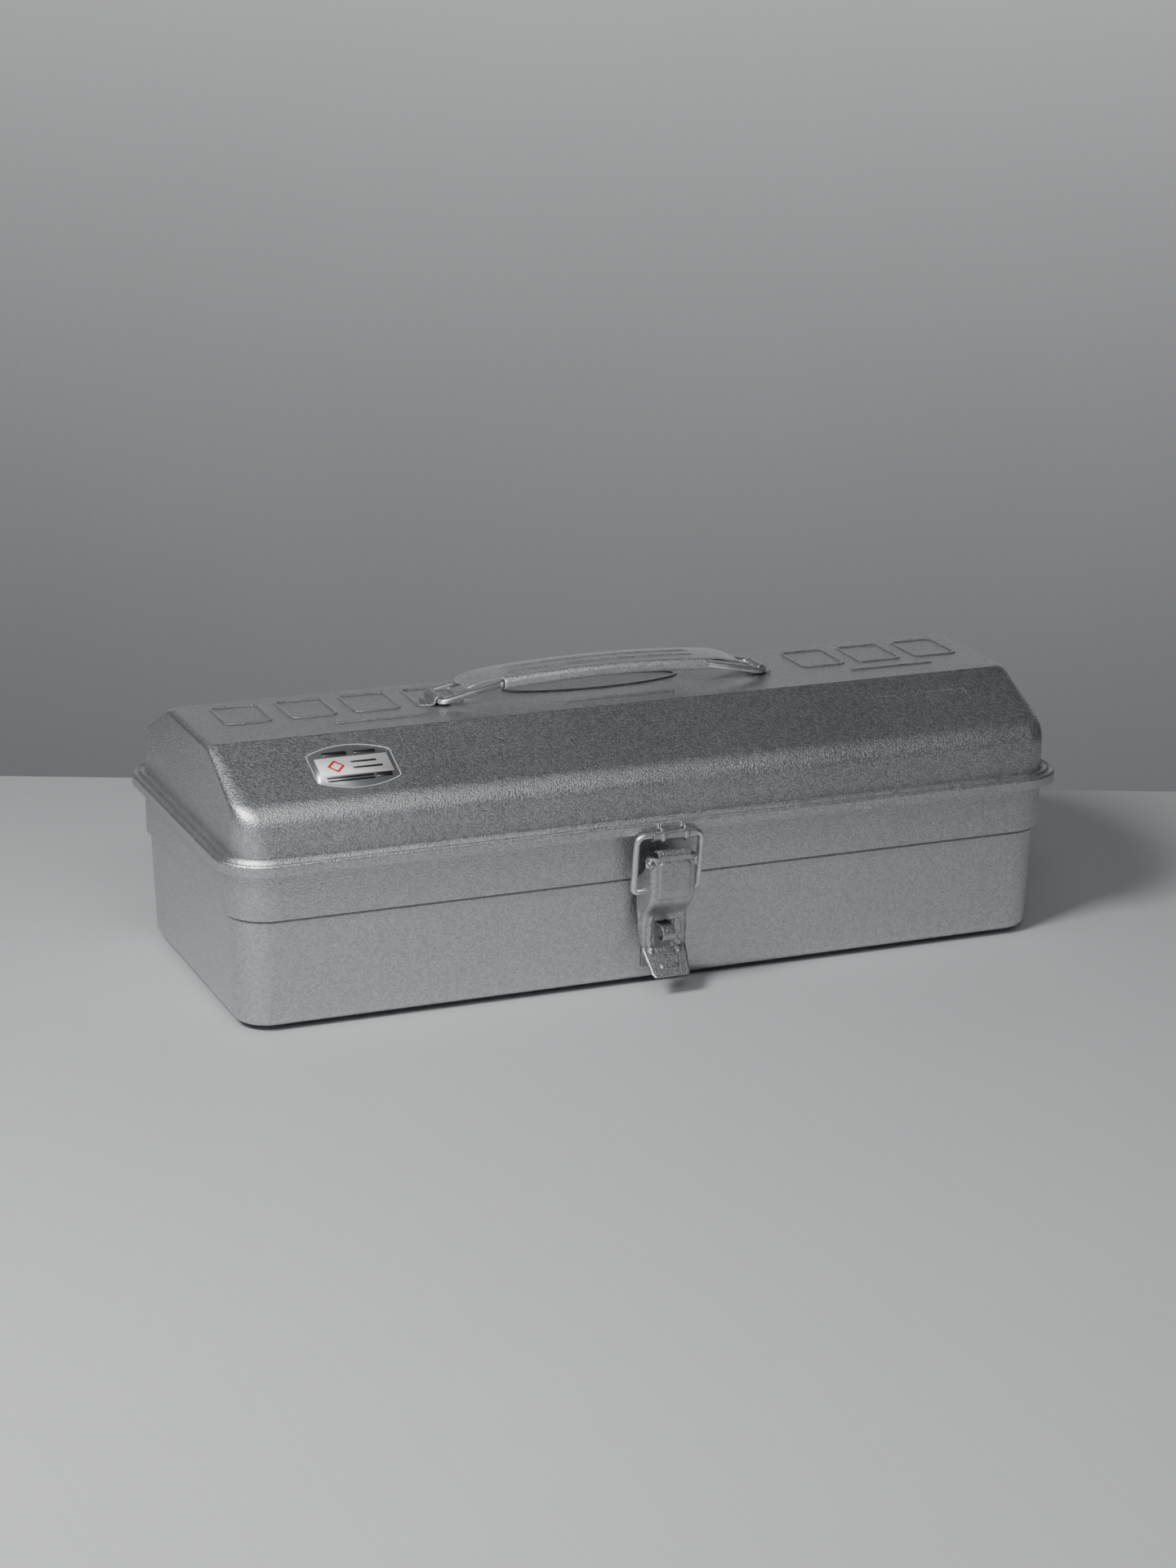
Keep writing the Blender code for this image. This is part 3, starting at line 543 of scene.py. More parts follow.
SILVER = flake_paint("silver_flake_paint", 0.56, 0.38, 0.96)
INSIDE = flake_paint("inside_flake_paint", 0.50, 0.44, 0.85, 0.8)
LATCH_PAINT = flake_paint("latch_flake_paint", 0.47, 0.32, 0.94, 1.0)
GRIP_PAINT = flake_paint("handle_flake_paint", 0.70, 0.42, 0.92, 0.9)
# The back plate's dark tone is painted shade: it stands for the lever's shadow inside its window.
BASE_SHADE_PAINT = flake_paint("back_plate_painted_shade_paint", 0.32, 0.45, 0.9, 0.8)
PLATED = plated_steel("plated_steel_wire", 0.74, 0.36)
FILM = printed("label_film", (0.40, 0.41, 0.43), 0.32, 0.75, 0.5)
FILM_EDGE = printed("label_film_edge", (0.72, 0.73, 0.74), 0.3, 0.3, 0.5)
WHITE_INK = printed("label_white_ink", (0.86, 0.86, 0.85), 0.42)
RED_INK = printed("label_red_ink", (0.55, 0.03, 0.02), 0.42)
DARK_INK = printed("label_dark_ink", (0.02, 0.02, 0.022), 0.45)


# ------ pieces

def added(name, data):
    """A new object in the scene."""
    item = bpy.data.objects.new(name, data)
    bpy.context.collection.objects.link(item)
    return item


def place_piece(name, mesh_data, finish, body, nodes=(), sheet=0.0, offset=0.0):
    """A visible piece that rides a body and stands for its nodes, thickened if it is a sheet."""
    if all(edge.is_manifold for edge in mesh_data.edges):
        bmesh.ops.recalc_face_normals(mesh_data, faces=mesh_data.faces)
    mesh = bpy.data.meshes.new(name)
    mesh_data.to_mesh(mesh)
    mesh_data.free()
    mesh.shade_smooth()
    mesh.materials.append(finish)
    item = added(name, mesh)
    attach(item, body)
    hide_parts(*nodes)
    if sheet:
        thicken(item, sheet, offset)
        soften(item)
    return item


def thicken(item, thickness, offset, quality=True):
    """Give a sheet its thickness."""
    solid = item.modifiers.new("thickness", "SOLIDIFY")
    solid.thickness = thickness
    solid.offset = offset
    solid.use_even_offset = True
    solid.use_quality_normals = quality


def soften(item, edge=CUT_EDGE, angle=50.0):
    """Round a piece's sharp edges a little and keep its flats looking flat."""
    rounding = item.modifiers.new("cut_edges", "BEVEL")
    rounding.width = edge
    rounding.segments = 2
    rounding.limit_method = "ANGLE"
    rounding.angle_limit = radians(angle)
    weights = item.modifiers.new("flat_shading", "WEIGHTED_NORMAL")
    weights.keep_sharp = True


def cut_out(item, low, high, radius):
    """Cut a bar that runs along the box, with rounded edges, out of a piece."""
    cutter_data = bmesh.new()
    bmesh.ops.create_cube(cutter_data, size=1.0)
    for v in cutter_data.verts:
        v.co = Vector([(a + b) / 2 + c * (b - a) for a, b, c in zip(low, high, v.co)])
    edges = [e for e in cutter_data.edges if abs(e.verts[0].co.x - e.verts[1].co.x) > radius]
    bmesh.ops.bevel(cutter_data, geom=edges, offset=radius, segments=8, profile=0.5, affect="EDGES")
    mesh = bpy.data.meshes.new("cutter")
    cutter_data.to_mesh(mesh)
    cutter_data.free()
    cutter = added("cutter", mesh)
    cut = item.modifiers.new("cut", "BOOLEAN")
    cut.operation = "DIFFERENCE"
    cut.solver = "EXACT"
    cut.object = cutter
    graph = bpy.context.evaluated_depsgraph_get()
    result = bpy.data.meshes.new_from_object(item.evaluated_get(graph))
    item.modifiers.clear()
    item.data = result
    bpy.data.objects.remove(cutter, do_unlink=True)


def shrunk(half, distance):
    """A half length and half width, both made smaller."""
    return [size - distance for size in half]


def body_shell():
    """The drawn tub: rim lip, flange, upper band, step, drafted wall and flat bottom."""
    lip_half = shrunk(BODY_RIM_HALF, SHEET)
    crease_half = shrunk(WAIST_HALF, CREASE)
    under_rim = BODY_RIM_Z - SHEET
    corners = [
        (*lip_half, BODY_RIM_Z - BODY_LIP),
        (*lip_half, under_rim),
        (*BAND_HALF, under_rim),
        (*BAND_HALF, BAND_Z),
        (*crease_half, BAND_Z - 0.1 * MM),
        (*crease_half, WAIST_Z),
        (*WAIST_HALF, WAIST_Z - 0.5 * MM),
        (*BOTTOM_HALF, FOOT_GAP),
        (*shrunk(BOTTOM_HALF, FOOT_INSET), FOOT_GAP),
        (*shrunk(BOTTOM_HALF, FOOT_INSET + FOOT_GAP), 0.0),
        (*shrunk(BOTTOM_HALF, 2 * FOOT_INSET), 0.0),
    ]
    levels = []
    for half_x, half_y, z in round_path(corners, BODY_BENDS, 7)[:-1]:
        levels.append((half_x, half_y, max(PLAN_RADIUS + half_x - BAND_HALF[0], LEAST_RADIUS), z))
    place_piece("body_tub", skin_levels(levels), SILVER, "body", ["body_shell"],
                sheet=SHEET, offset=-1.0)


def rim_profile(depth):
    """The lid's rim from the skirt's edge inwards, as (distance in, height) points."""
    r = LID_EDGE_RADIUS
    outer = arc((r, LID_FLANGE_Z - r), r, 180, 90, 8)
    table = ((r, LID_FLANGE_Z), LID_GROOVE, LID_BEAD, LID_ROOT)
    crest = [Vector((d, blend(table, d))) for d in stations_between([r, LID_ROOT[0]], 0.2 * MM)[1:]]
    root = arc((LID_ROOT[0], LID_ROOT[1] + depth - LID_ROOT[0]), depth - LID_ROOT[0], -90, 0, 6)
    return [Vector((0.0, LID_SKIRT_Z))] + outer + crest + root[1:]


def half_at(profile, z):
    """Half width of a rising profile at a height."""
    for low, high in zip(profile, profile[1:]):
        if low[1] <= z + 1e-7 and z <= high[1] + 1e-7:
            share = (z - low[1]) / max(high[1] - low[1], 1e-9)
            return between(low[0], high[0], min(max(share, 0.0), 1.0))
    return profile[-2][0]


def lid_levels():
    """Levels of the lid from its skirt to the flat top."""
    spread = LID_RIM_HALF[0] - LID_WALL_HALF[0]
    levels = []
    for d, z in rim_profile(spread):
        share = d / spread
        across = between(LID_RIM_HALF[1], LID_WALL_HALF[1], share)
        levels.append((LID_RIM_HALF[0] - d, across, between(LID_RIM_RADIUS, LID_CORNER_LOW, share), z))
    along = round_path([(LID_WALL_HALF[0], LID_FLANGE_Z), (LID_TOP_HALF[0], LID_TOP_Z),
                        (0.0, LID_TOP_Z)], [LID_END_BEND], 10)
    across = round_path([(LID_WALL_HALF[1], LID_FLANGE_Z), (LID_BEND_HALF[1], LID_BEND_Z),
                         (LID_TOP_HALF[1], LID_TOP_Z), (0.0, LID_TOP_Z)],
                        [LID_LOW_BEND, LID_HIGH_BEND], 9)
    floor_z = levels[-1][3] + 0.8 * MM
    heights = sorted({round(p[1], 7) for p in along + across if p[1] > floor_z})
    for z in heights:
        if z < LID_BEND_Z:
            share = (z - LID_FLANGE_Z) / (LID_BEND_Z - LID_FLANGE_Z)
            radius = between(LID_CORNER_LOW, LID_CORNER_BEND, share)
        else:
            share = (z - LID_BEND_Z) / (LID_TOP_Z - LID_BEND_Z)
            radius = between(LID_CORNER_BEND, LID_CORNER_HIGH, share)
        levels.append((half_at(along, z), half_at(across, z), radius, z))
    return levels


SLOPE_LOW = Vector((0.0, -LID_BEND_HALF[1], LID_BEND_Z))
SLOPE_HIGH = Vector((0.0, -LID_TOP_HALF[1], LID_TOP_Z))
SLOPE_UP = (SLOPE_HIGH - SLOPE_LOW).normalized()
SLOPE_OUT = Vector((0.0, -SLOPE_UP.z, SLOPE_UP.y))


def press_name_panel(shell):
    """Press a shallow rectangular panel into the lid's front slope."""
    middle = Vector(((NAME_PANEL_X[0] + NAME_PANEL_X[1]) / 2, (NAME_PANEL_Y[0] + NAME_PANEL_Y[1]) / 2, 0))
    for axis, values in ((0, NAME_PANEL_X), (1, NAME_PANEL_Y)):
        for value in values:
            faces = [f for f in shell.faces if covers(f, middle)]
            geometry = faces + [e for f in faces for e in f.edges] + [v for f in faces for v in f.verts]
            normal = Vector([float(k == axis) for k in range(3)])
            bmesh.ops.bisect_plane(shell, geom=list(set(geometry)), plane_co=normal * value,
                                   plane_no=normal)
    panel = [f for f in shell.faces if covers(f, middle)]
    for width in mm(0.9, 0.5):
        bmesh.ops.inset_region(shell, faces=panel, thickness=width, depth=-NAME_PANEL_DEPTH / 2,
                               use_even_offset=True)


def covers(face, point):
    """Whether an upward face on the front slope covers a point seen from above."""
    if face.normal.z < 0.5 or face.normal.y > -0.2:
        return False
    xs = [v.co.x for v in face.verts]
    ys = [v.co.y for v in face.verts]
    return min(xs) < point.x < max(xs) and min(ys) < point.y < max(ys)


def lid_shell():
    """The pressed lid: rolled rim, walls, slopes and flat top."""
    shell = skin_levels(lid_levels())
    shell.normal_update()
    press_name_panel(shell)
    place_piece("lid_cover", shell, SILVER, "lid", ["lid_shell"], sheet=SHEET, offset=-1.0)


def raised_pad(name, centre, outline, ring_width=0.0):
    """Low relief on the lid's flat top; with a ring width it is a raised line instead."""
    profile = [mm(-0.3, -0.15)]
    profile += [(PAD_SLOPE * t / 5, PAD_HEIGHT * smooth(t / 5)) for t in range(6)]
    if ring_width:
        far = 2 * PAD_SLOPE + ring_width
        profile += [(far - inset, height) for inset, height in reversed(profile)]
    loops = []
    for inset, height in profile:
        loop = outline(inset)
        loops.append([p + Vector((*centre, LID_TOP_Z + height)) for p in loop])
    place_piece(name, closed_relief(loops, bool(ring_width)), SILVER, "lid")


def block(half_x, half_y, radius, steps):
    """A rounded block's outline, as a function of how far it is inset."""
    return lambda inset: rounded_rectangle(half_x - inset, half_y - inset, radius - inset, 0.0, steps)


def lid_relief():
    """Plain pads, bars and an oval line where the lid's pressed work is."""
    for side, places in PADS:
        for i, x in enumerate(places):
            raised_pad(f"lid_pad_{side}_{i + 1}", (x, PAD_Y), block(*PAD_HALF, 3.5 * MM, 8), 0.6 * MM)
    for name, centre, half in LID_BARS:
        raised_pad("lid_bar_" + name, centre, block(half, 1.5 * MM, 1.2 * MM, 6))
    raised_pad("lid_oval", (0.0, OVAL_Y),
               lambda inset: ellipse(OVAL_HALF[0] - inset, OVAL_HALF[1] - inset), 1.2 * MM)


def tray():
    """A shallow pressed tray with a finger hole in each end."""
    corners = [
        (*TRAY_RIM_HALF, TRAY_RIM_Z - SHEET),
        (*TRAY_WALL_HALF, TRAY_RIM_Z - SHEET),
        (*TRAY_FLOOR_HALF, TRAY_FLOOR_Z),
        (*shrunk(TRAY_FLOOR_HALF, 20 * MM), TRAY_FLOOR_Z),
    ]
    levels = []
    for half_x, half_y, z in round_path(corners, mm(1.2, 3.0), 7)[:-1]:
        radius = TRAY_PLAN_RADIUS + half_x - TRAY_RIM_HALF[0]
        levels.append((half_x, half_y, max(radius, LEAST_RADIUS), z))
    item = place_piece("tray_pan", skin_levels(levels), INSIDE, "tray", ["tray"])
    thicken(item, SHEET, -1.0, False)
    high = TRAY_RIM_Z - 3.0 * MM
    reach = TRAY_RIM_HALF[0] + 5 * MM
    cut_out(item, (-reach, -FINGER_HOLE[0] / 2, high - FINGER_HOLE[1]),
            (reach, FINGER_HOLE[0] / 2, high), FINGER_HOLE[1] * 0.49)
    soften(item)


def tray_divider():
    """An upright plate across the tray, on a foot with four spot welds."""
    floor = TRAY_FLOOR_Z + GAP + 1.5 * SHEET
    half = TRAY_FLOOR_HALF[1] - 4.2 * MM
    path = round_path([(DIVIDER_X + DIVIDER_FOOT, floor), (DIVIDER_X, floor),
                       (DIVIDER_X, floor + DIVIDER_HEIGHT)], [1.2 * MM], 8)
    welds = [half * s for s in (-0.75, -0.25, 0.25, 0.75)]
    rows = []
    for x, z in resample(path, MESH_STEP):
        rows.append([])
        for y in stations_between([-half, half], MESH_STEP):
            dip = 0.0
            if x > DIVIDER_X + 2 * MM:
                dip = max(weld_dip(x - DIVIDER_X - DIVIDER_FOOT / 2, y - w) for w in welds)
            rows[-1].append((x, y, z - dip * 0.5))
    place_piece("tray_cross_plate", sheet_grid(rows), INSIDE, "tray", ["tray_divider"],
                sheet=SHEET)


def weld_dip(across, up):
    """Depth of a spot weld's round dimple."""
    reach = (across ** 2 + up ** 2) ** 0.5 / WELD_RADIUS
    return WELD_DEPTH * smooth(1.6 * (1 - reach))


# ------ hinges

def hinge_leaf(level, body, side, centre, run, curl, middle_knuckle, welds_z):
    """One pressed leaf: flat with spot welds, and knuckles rolled round the pin."""
    half, middle = HINGE_WIDTH / 2, HINGE_MIDDLE / 2
    marks = [centre + x for x in (-half, -middle - GAP / 2, -middle + GAP / 2,
                                  middle - GAP / 2, middle + GAP / 2, half)]
    stations = stations_between(marks, 0.5 * MM)
    path = resample(run, 0.5 * MM)
    arms = len(path) - 1
    path = path[:-1] + curl
    rolled = arms - (0 if middle_knuckle else 8)

    def relief(p, x):
        places = [(centre + s * 0.32 * HINGE_WIDTH, welds_z) for s in (-1, 0, 1)]
        return -max(weld_dip(x - wx, p[1] - wz) for wx, wz in places)

    def keep(r, x):
        inside = marks[2] < x < marks[3]
        outside = x < marks[1] or x > marks[4]
        return r < rolled or (inside if middle_knuckle else outside)

    place_piece(f"hinge_{level}_{side}", relief_strip(path, stations, relief, keep), SILVER, body,
                [f"hinge_{body}_leaf_{side}"], sheet=HINGE_SHEET)


def hinges():
    """Two rear hinges: a leaf on the body, a leaf on the lid and a pin."""
    y, z = HINGE_AXIS
    flat = BAND_HALF[1] + GAP + HINGE_SHEET / 2
    foot, bend, bridge = HINGE_LOWER_Z
    body_run = round_path([(flat, foot), (flat, bend), (y + HINGE_CURL, bridge),
                           (y + HINGE_CURL, z)], mm(2.0, 1.5), 8)
    wall = LID_WALL_HALF[1] + GAP + HINGE_SHEET / 2
    lean = (LID_WALL_HALF[1] - LID_BEND_HALF[1]) / (LID_BEND_Z - LID_FLANGE_Z)
    over = LID_FLANGE_Z + GAP + HINGE_SHEET
    top = HINGE_UPPER_Z
    lid_run = round_path([(wall - lean * (top - over), top), (wall - lean * 1 * MM, over),
                          (y - HINGE_CURL - 1.2 * MM, over)], [1.2 * MM], 8)
    for side, centre in zip(("left", "right"), HINGE_X):
        hinge_leaf("lower", "body", side, centre, body_run,
                   arc(HINGE_AXIS, HINGE_CURL, 0, 290, 40), False, HINGE_WELDS_Z[0])
        hinge_leaf("upper", "lid", side, centre, lid_run,
                   arc(HINGE_AXIS, HINGE_CURL, 90, -190, 40), True, HINGE_WELDS_Z[1])
        half = HINGE_WIDTH / 2 + 0.8 * MM
        item = place_piece("hinge_rod_" + side, pin_solid(centre, (y, z), HINGE_PIN_RADIUS, half),
                           PLATED, "body", ["hinge_pin_" + side])
        soften(item, 0.05 * MM, 60)


def pin_solid(centre_x, place, radius, half, dish=0.0):
    """A pin with rounded and, if asked, dished ends."""
    ends = []
    for t in range(6):
        a = pi / 2 * t / 5
        ends.append((half - 0.35 * radius * (1 - sin(a)), radius * (0.65 + 0.35 * cos(a))))
    inner = [(half - dish * smooth(t / 5), radius * 0.65 * (1 - 0.8 * t / 5)) for t in range(6)]
    side = ends + inner[1:]
    profile = [(-x, r) for x, r in reversed(side)] + side
    return turned((centre_x, *place), profile)


# ------ handle

def tube_height(x):
    """Height of the grip's arched tubes, straight past their ends."""
    end_slope = 2 * TUBE_DROP / TUBE_HALF
    past = max(abs(x) - TUBE_HALF, 0.0)
    return TUBE_TOP_Z - TUBE_DROP * (min(abs(x), TUBE_HALF) / TUBE_HALF) ** 2 - end_slope * past


def grip_row(x):
    """One cross-section of the grip: curl, crown with two ribs, curl."""
    past = max(abs(x) - TUBE_HALF, 0.0) / (GRIP_HALF - TUBE_HALF)
    inset = max(TONGUE_CORNER - (GRIP_HALF - abs(x)), 0.0)
    narrow = 1.0 - (TONGUE_CORNER - (TONGUE_CORNER ** 2 - inset ** 2) ** 0.5) / TUBE_Y
    curl = arc((-TUBE_Y, 0.0), TUBE_RADIUS, 15 + 360, 90, 40)
    fade = smooth((GRIP_RIB_END - abs(x)) / (4 * MM))
    crown = []
    for y in stations_between([-TUBE_Y * 0.96, 0.0], FINE_STEP):
        rise = CROWN_RISE * (1 - (y / TUBE_Y) ** 2)
        rib = GRIP_RIB_HEIGHT * fade * ridge(abs(y) - GRIP_RIB_Y, GRIP_RIB_HALF)
        crown.append(Vector((y, TUBE_RADIUS + rise + rib)))
    left = curl + crown
    section = left + [Vector((-p[0], p[1])) for p in reversed(left[:-1])]
    centre = tube_height(x) - TONGUE_DROP * past ** 3
    return [(x, p[0] * narrow, centre + p[1]) for p in section]


def handle_grip():
    """The arched sheet with both long edges rolled into tubes and a tongue at each end."""
    tongue = stations_between([TUBE_HALF, GRIP_HALF - TONGUE_CORNER, GRIP_HALF], 0.7 * MM)
    stations = [-x for x in reversed(tongue)]
    stations += stations_between([-TUBE_HALF, TUBE_HALF], 1.0 * MM)[1:-1] + tongue
    rows = [grip_row(x) for x in stations]
    first, last = 40, len(rows[0]) - 42

    def keep(r, c):
        return abs(stations[r] + stations[r + 1]) / 2 < TUBE_HALF or first <= c <= last

    place_piece("handle_bow", sheet_grid(rows, keep), GRIP_PAINT, "grip", ["handle_grip"],
                GRIP_SHEET)


def handle_link(side_name, side):
    """A U of wire: the crossbar turns under its bridge and the legs slide in the tubes."""
    span = LINK_X - TUBE_HALF + LINK_INSERT
    tip_x = side * (LINK_X - span)
    tip_z = LINK_HEIGHT + span * tan(LINK_ANGLE)
    bar_x = side * LINK_X
    corners = [(tip_x, -TUBE_Y, tip_z), (bar_x, -TUBE_Y, LINK_HEIGHT),
               (bar_x, TUBE_Y, LINK_HEIGHT), (tip_x, TUBE_Y, tip_z)]
    bent = wire(round_path(corners, [LINK_CORNER] * 2, 14), LINK_WIRE)
    place_piece("handle_wire_" + side_name, bent, PLATED, "link_" + side_name,
                ["handle_link_" + side_name])


def handle_bridge(side_name, side):
    """A saddle over the link's crossbar that flares down to the lid on each side."""
    bore = LINK_WIRE + GAP + SHEET / 2
    foot_z = LID_TOP_Z + GAP + SHEET / 2
    centre = side * LINK_X
    arch = arc((centre, LINK_HEIGHT), bore, 180, 0, 24)
    foot = bore + BRIDGE_FOOT
    path = round_path([(centre - foot, foot_z), (centre - bore, foot_z), arch[0]], [0.9 * MM], 6)
    left = path[:-1] + arch[:13]
    right = [Vector((2 * centre - p[0], p[1])) for p in reversed(left[:-1])]
    rows = [[(x, y, z) for y in stations_between([-BRIDGE_HALF, BRIDGE_HALF], MESH_STEP)]
            for x, z in left + right]
    place_piece("handle_saddle_" + side_name, sheet_grid(rows), SILVER, "lid",
                ["handle_bridge_" + side_name], sheet=SHEET)


# ------ latch

def front(points):
    """Turn (forward, height) pairs into (y, z) pairs."""
    return [Vector((-p[0], p[1])) for p in points]


def wall_front(z):
    """Distance forward of the body's drafted front wall, below the step."""
    return BOTTOM_HALF[1] + (WAIST_HALF[1] - BOTTOM_HALF[1]) * z / WAIST_Z


def lever_line():
    """Middle line of the lever's sheet: thumb tab, neck and face, from the bottom up."""
    line = round_path([(LEVER_FACE, LEVER_TAB_Z), (LEVER_NECK, LEVER_NECK_Z[0]),
                       (LEVER_NECK, LEVER_NECK_Z[1]), (LEVER_FACE, LEVER_FACE_Z[0]),
                       (LEVER_FACE, LEVER_FACE_Z[1])], LEVER_CURVES, 16)
    out = resample(line, 0.42 * MM)
    for mark in WINDOW_Z:
        nearest = min(range(len(out)), key=lambda i: abs(out[i][1] - mark))
        out[nearest] = Vector((out[nearest][0], mark))
    return out


def lever_back(z):
    """Distance forward of the flanges' back edges, which end in an ear round the pin."""
    if z <= PIN[1]:
        return blend(LEVER_BACK, z)
    return PIN[0] - (EAR_RADIUS ** 2 - (z - PIN[1]) ** 2) ** 0.5


def box_rise(x, z, half, low, high, slope):
    """A raised rectangle's height share, with sloping sides and rounded corners."""
    middle, tall = (low + high) / 2, (high - low) / 2
    dx = max(abs(x) - half + PANEL_CORNER, 0.0)
    dz = max(abs(z - middle) - tall + PANEL_CORNER, 0.0)
    outside = (dx * dx + dz * dz) ** 0.5 - PANEL_CORNER
    return smooth(-outside / slope)


def lever_rise(x, z):
    """How far the pressed work stands forward of the lever's sheet."""
    rise = PANEL_RISE * box_rise(x, z, PANEL_HALF, *PANEL_Z, PANEL_SLOPE)
    rise -= CAP_GROOVE_DEPTH * ridge(z - CAP_GROOVE_Z, CAP_GROOVE_HALF)
    share = (z - CRESCENT_Z[0]) / (CRESCENT_Z[1] - CRESCENT_Z[0])
    if 0.0 < share < 1.0:
        middle = CRESCENT_X + CRESCENT_BOW * sin(pi * share)
        fade = smooth(share * 6) * smooth((1 - share) * 6)
        rise += CRESCENT_RISE * fade * ridge(abs(x) - middle, CRESCENT_HALF)
    rise += TAB_MARK_RISE * box_rise(x, z, TAB_MARK_HALF, *TAB_MARK_Z, TAB_MARK_SLOPE)
    return rise


def flat_share(count, width, bend):
    """Positions across the lever's flat front, which always hit the window's edges."""
    inner = width - bend
    outside = count // 3
    out = [inner - (inner - WINDOW_HALF) * i / outside for i in range(1, outside + 1)]
    inside = count - outside
    return out + [WINDOW_HALF * (1 - i / inside) for i in range(1, inside + 1)]


def lever_half(point):
    """Half of the lever's section, from the flange's edge to the middle, as (across, back)."""
    z = point[1]
    width = blend(LEVER_WIDTH, z)
    depth = max(point[0] - lever_back(z), 0.4 * MM)
    bend = min(LEVER_BEND, depth * 0.8)
    edge = Vector((blend(LEVER_EDGE, z), depth))
    half = [edge.lerp(Vector((width, bend)), t / FLANGE_STEPS) for t in range(FLANGE_STEPS)]
    for t in range(BEND_STEPS + 1):
        turn = radians(90 * t / BEND_STEPS)
        half.append(Vector((width - bend + bend * cos(turn), bend - bend * sin(turn))))
    return half + [Vector((x, 0.0)) for x in flat_share(24, width, bend)]


def lever_points(point):
    """The lever's whole section at one point of its middle line."""
    half = lever_half(point)
    section = [(-x, d) for x, d in half] + [(x, d) for x, d in reversed(half[:-1])]
    return [(LATCH_X + x, -(point[0] - d + lever_rise(x, point[1])), point[1]) for x, d in section]


def latch_lever():
    """The pressed lever: thumb tab, windowed neck, flanged face with ears, rolled top."""
    line = lever_line()
    rows = [lever_points(point) for point in line]
    centre = (LEVER_FACE + PIN[0] - CURL) / 2
    cap = arc((centre, LEVER_FACE_Z[1]), LEVER_FACE - centre, 0, 150, 24)
    rows += [[(x, -point[0], point[1]) for x, y, z in rows[len(line) - 1]] for point in cap[1:]]
    flange = FLANGE_STEPS + BEND_STEPS
    columns = len(rows[0])

    def keep(r, c):
        if r >= len(line) - 1:
            return flange <= c < columns - 1 - flange
        high = (line[r][1] + line[r + 1][1]) / 2
        across = abs((rows[r][c][0] + rows[r][c + 1][0]) / 2 - LATCH_X)
        return not (WINDOW_Z[0] < high < WINDOW_Z[1] and across < WINDOW_HALF)

    place_piece("latch_lever_plate", sheet_grid(rows, keep), LATCH_PAINT, "lever", ["latch_lever"],
                sheet=LATCH_SHEET)
    for side_name, side in SIDES:
        outer = arc((COLLAR[1] - COLLAR_ROUND, COLLAR_RADIUS - COLLAR_ROUND), COLLAR_ROUND, 90, -60, 8)
        dish = [(COLLAR[1] - 0.75 * MM, COLLAR_BORE), (COLLAR[0], COLLAR_BORE), (COLLAR[0], COLLAR_RADIUS)]
        profile = [(side * x, r) for x, r in [tuple(p) for p in outer] + dish]
        ring = turned((LATCH_X, -PIN[0], PIN[1]), profile, True)
        place_piece("lever_collar_" + side_name, ring, LATCH_PAINT, "lever")


def latch_pin():
    """The rivet that the lever turns on."""
    solid = pin_solid(LATCH_X, (-PIN[0], PIN[1]), RIVET_RADIUS, PIN_HALF, RIVET_DISH)
    place_piece("latch_rivet", solid, LATCH_PAINT, "body", ["latch_pin"])


def latch_bail():
    """The wire loop: two legs that turn in the lever's flanges and a straight top bar."""
    low, high = BAIL_PIVOT, BAIL_TOP
    corners = [(-BAIL_STUB, low), (-BAIL_HALF, low), (-BAIL_HALF, high),
               (BAIL_HALF, high), (BAIL_HALF, low), (BAIL_STUB, low)]
    points = [(LATCH_X + x, -p[0], p[1]) for x, p in corners]
    path = round_path(points, [BAIL_FOOT_CORNER, BAIL_CORNER, BAIL_CORNER, BAIL_FOOT_CORNER], 14)
    place_piece("latch_loop", wire(path, BAIL_WIRE), PLATED, "bail", ["latch_bail"])


def latch_keeper():
    """The ribbed hook that the bail's top bar is pulled down into."""
    back = LID_RIM_HALF[1] + GAP + LATCH_SHEET / 2
    reach = BAIL_TOP[0] - back
    low, high = KEEPER_STRAP_Z
    path = [Vector((back, high)), Vector((back, low))] + arc(BAIL_TOP, reach, 180, 360, 30)
    path.append(Vector((BAIL_TOP[0] + reach, BAIL_TOP[1] + KEEPER_LIP)))
    path = resample(front(path), FINE_STEP)
    inner = KEEPER_STRAP_X - KEEPER_STRAP_HALF
    outer = KEEPER_STRAP_X + KEEPER_STRAP_HALF
    marks = [KEEPER_X + x for x in (-KEEPER_HALF, -outer, -inner, inner, outer, KEEPER_HALF)]
    stations = stations_between(marks, FINE_STEP)

    def relief(p, x):
        return KEEPER_RIB * max(ridge(x - KEEPER_X - s * KEEPER_STRAP_X, KEEPER_RIB_HALF) for s in (-1, 1))

    def keep(r, x):
        hooked = path[r + 1][1] < low + 1e-6 or -path[r][0] > back + 0.1 * MM
        return hooked or inner < abs(x - KEEPER_X) < outer

    place_piece("latch_hook", relief_strip(path, stations, relief, keep), LATCH_PAINT, "lid",
                ["latch_keeper"], sheet=LATCH_SHEET)


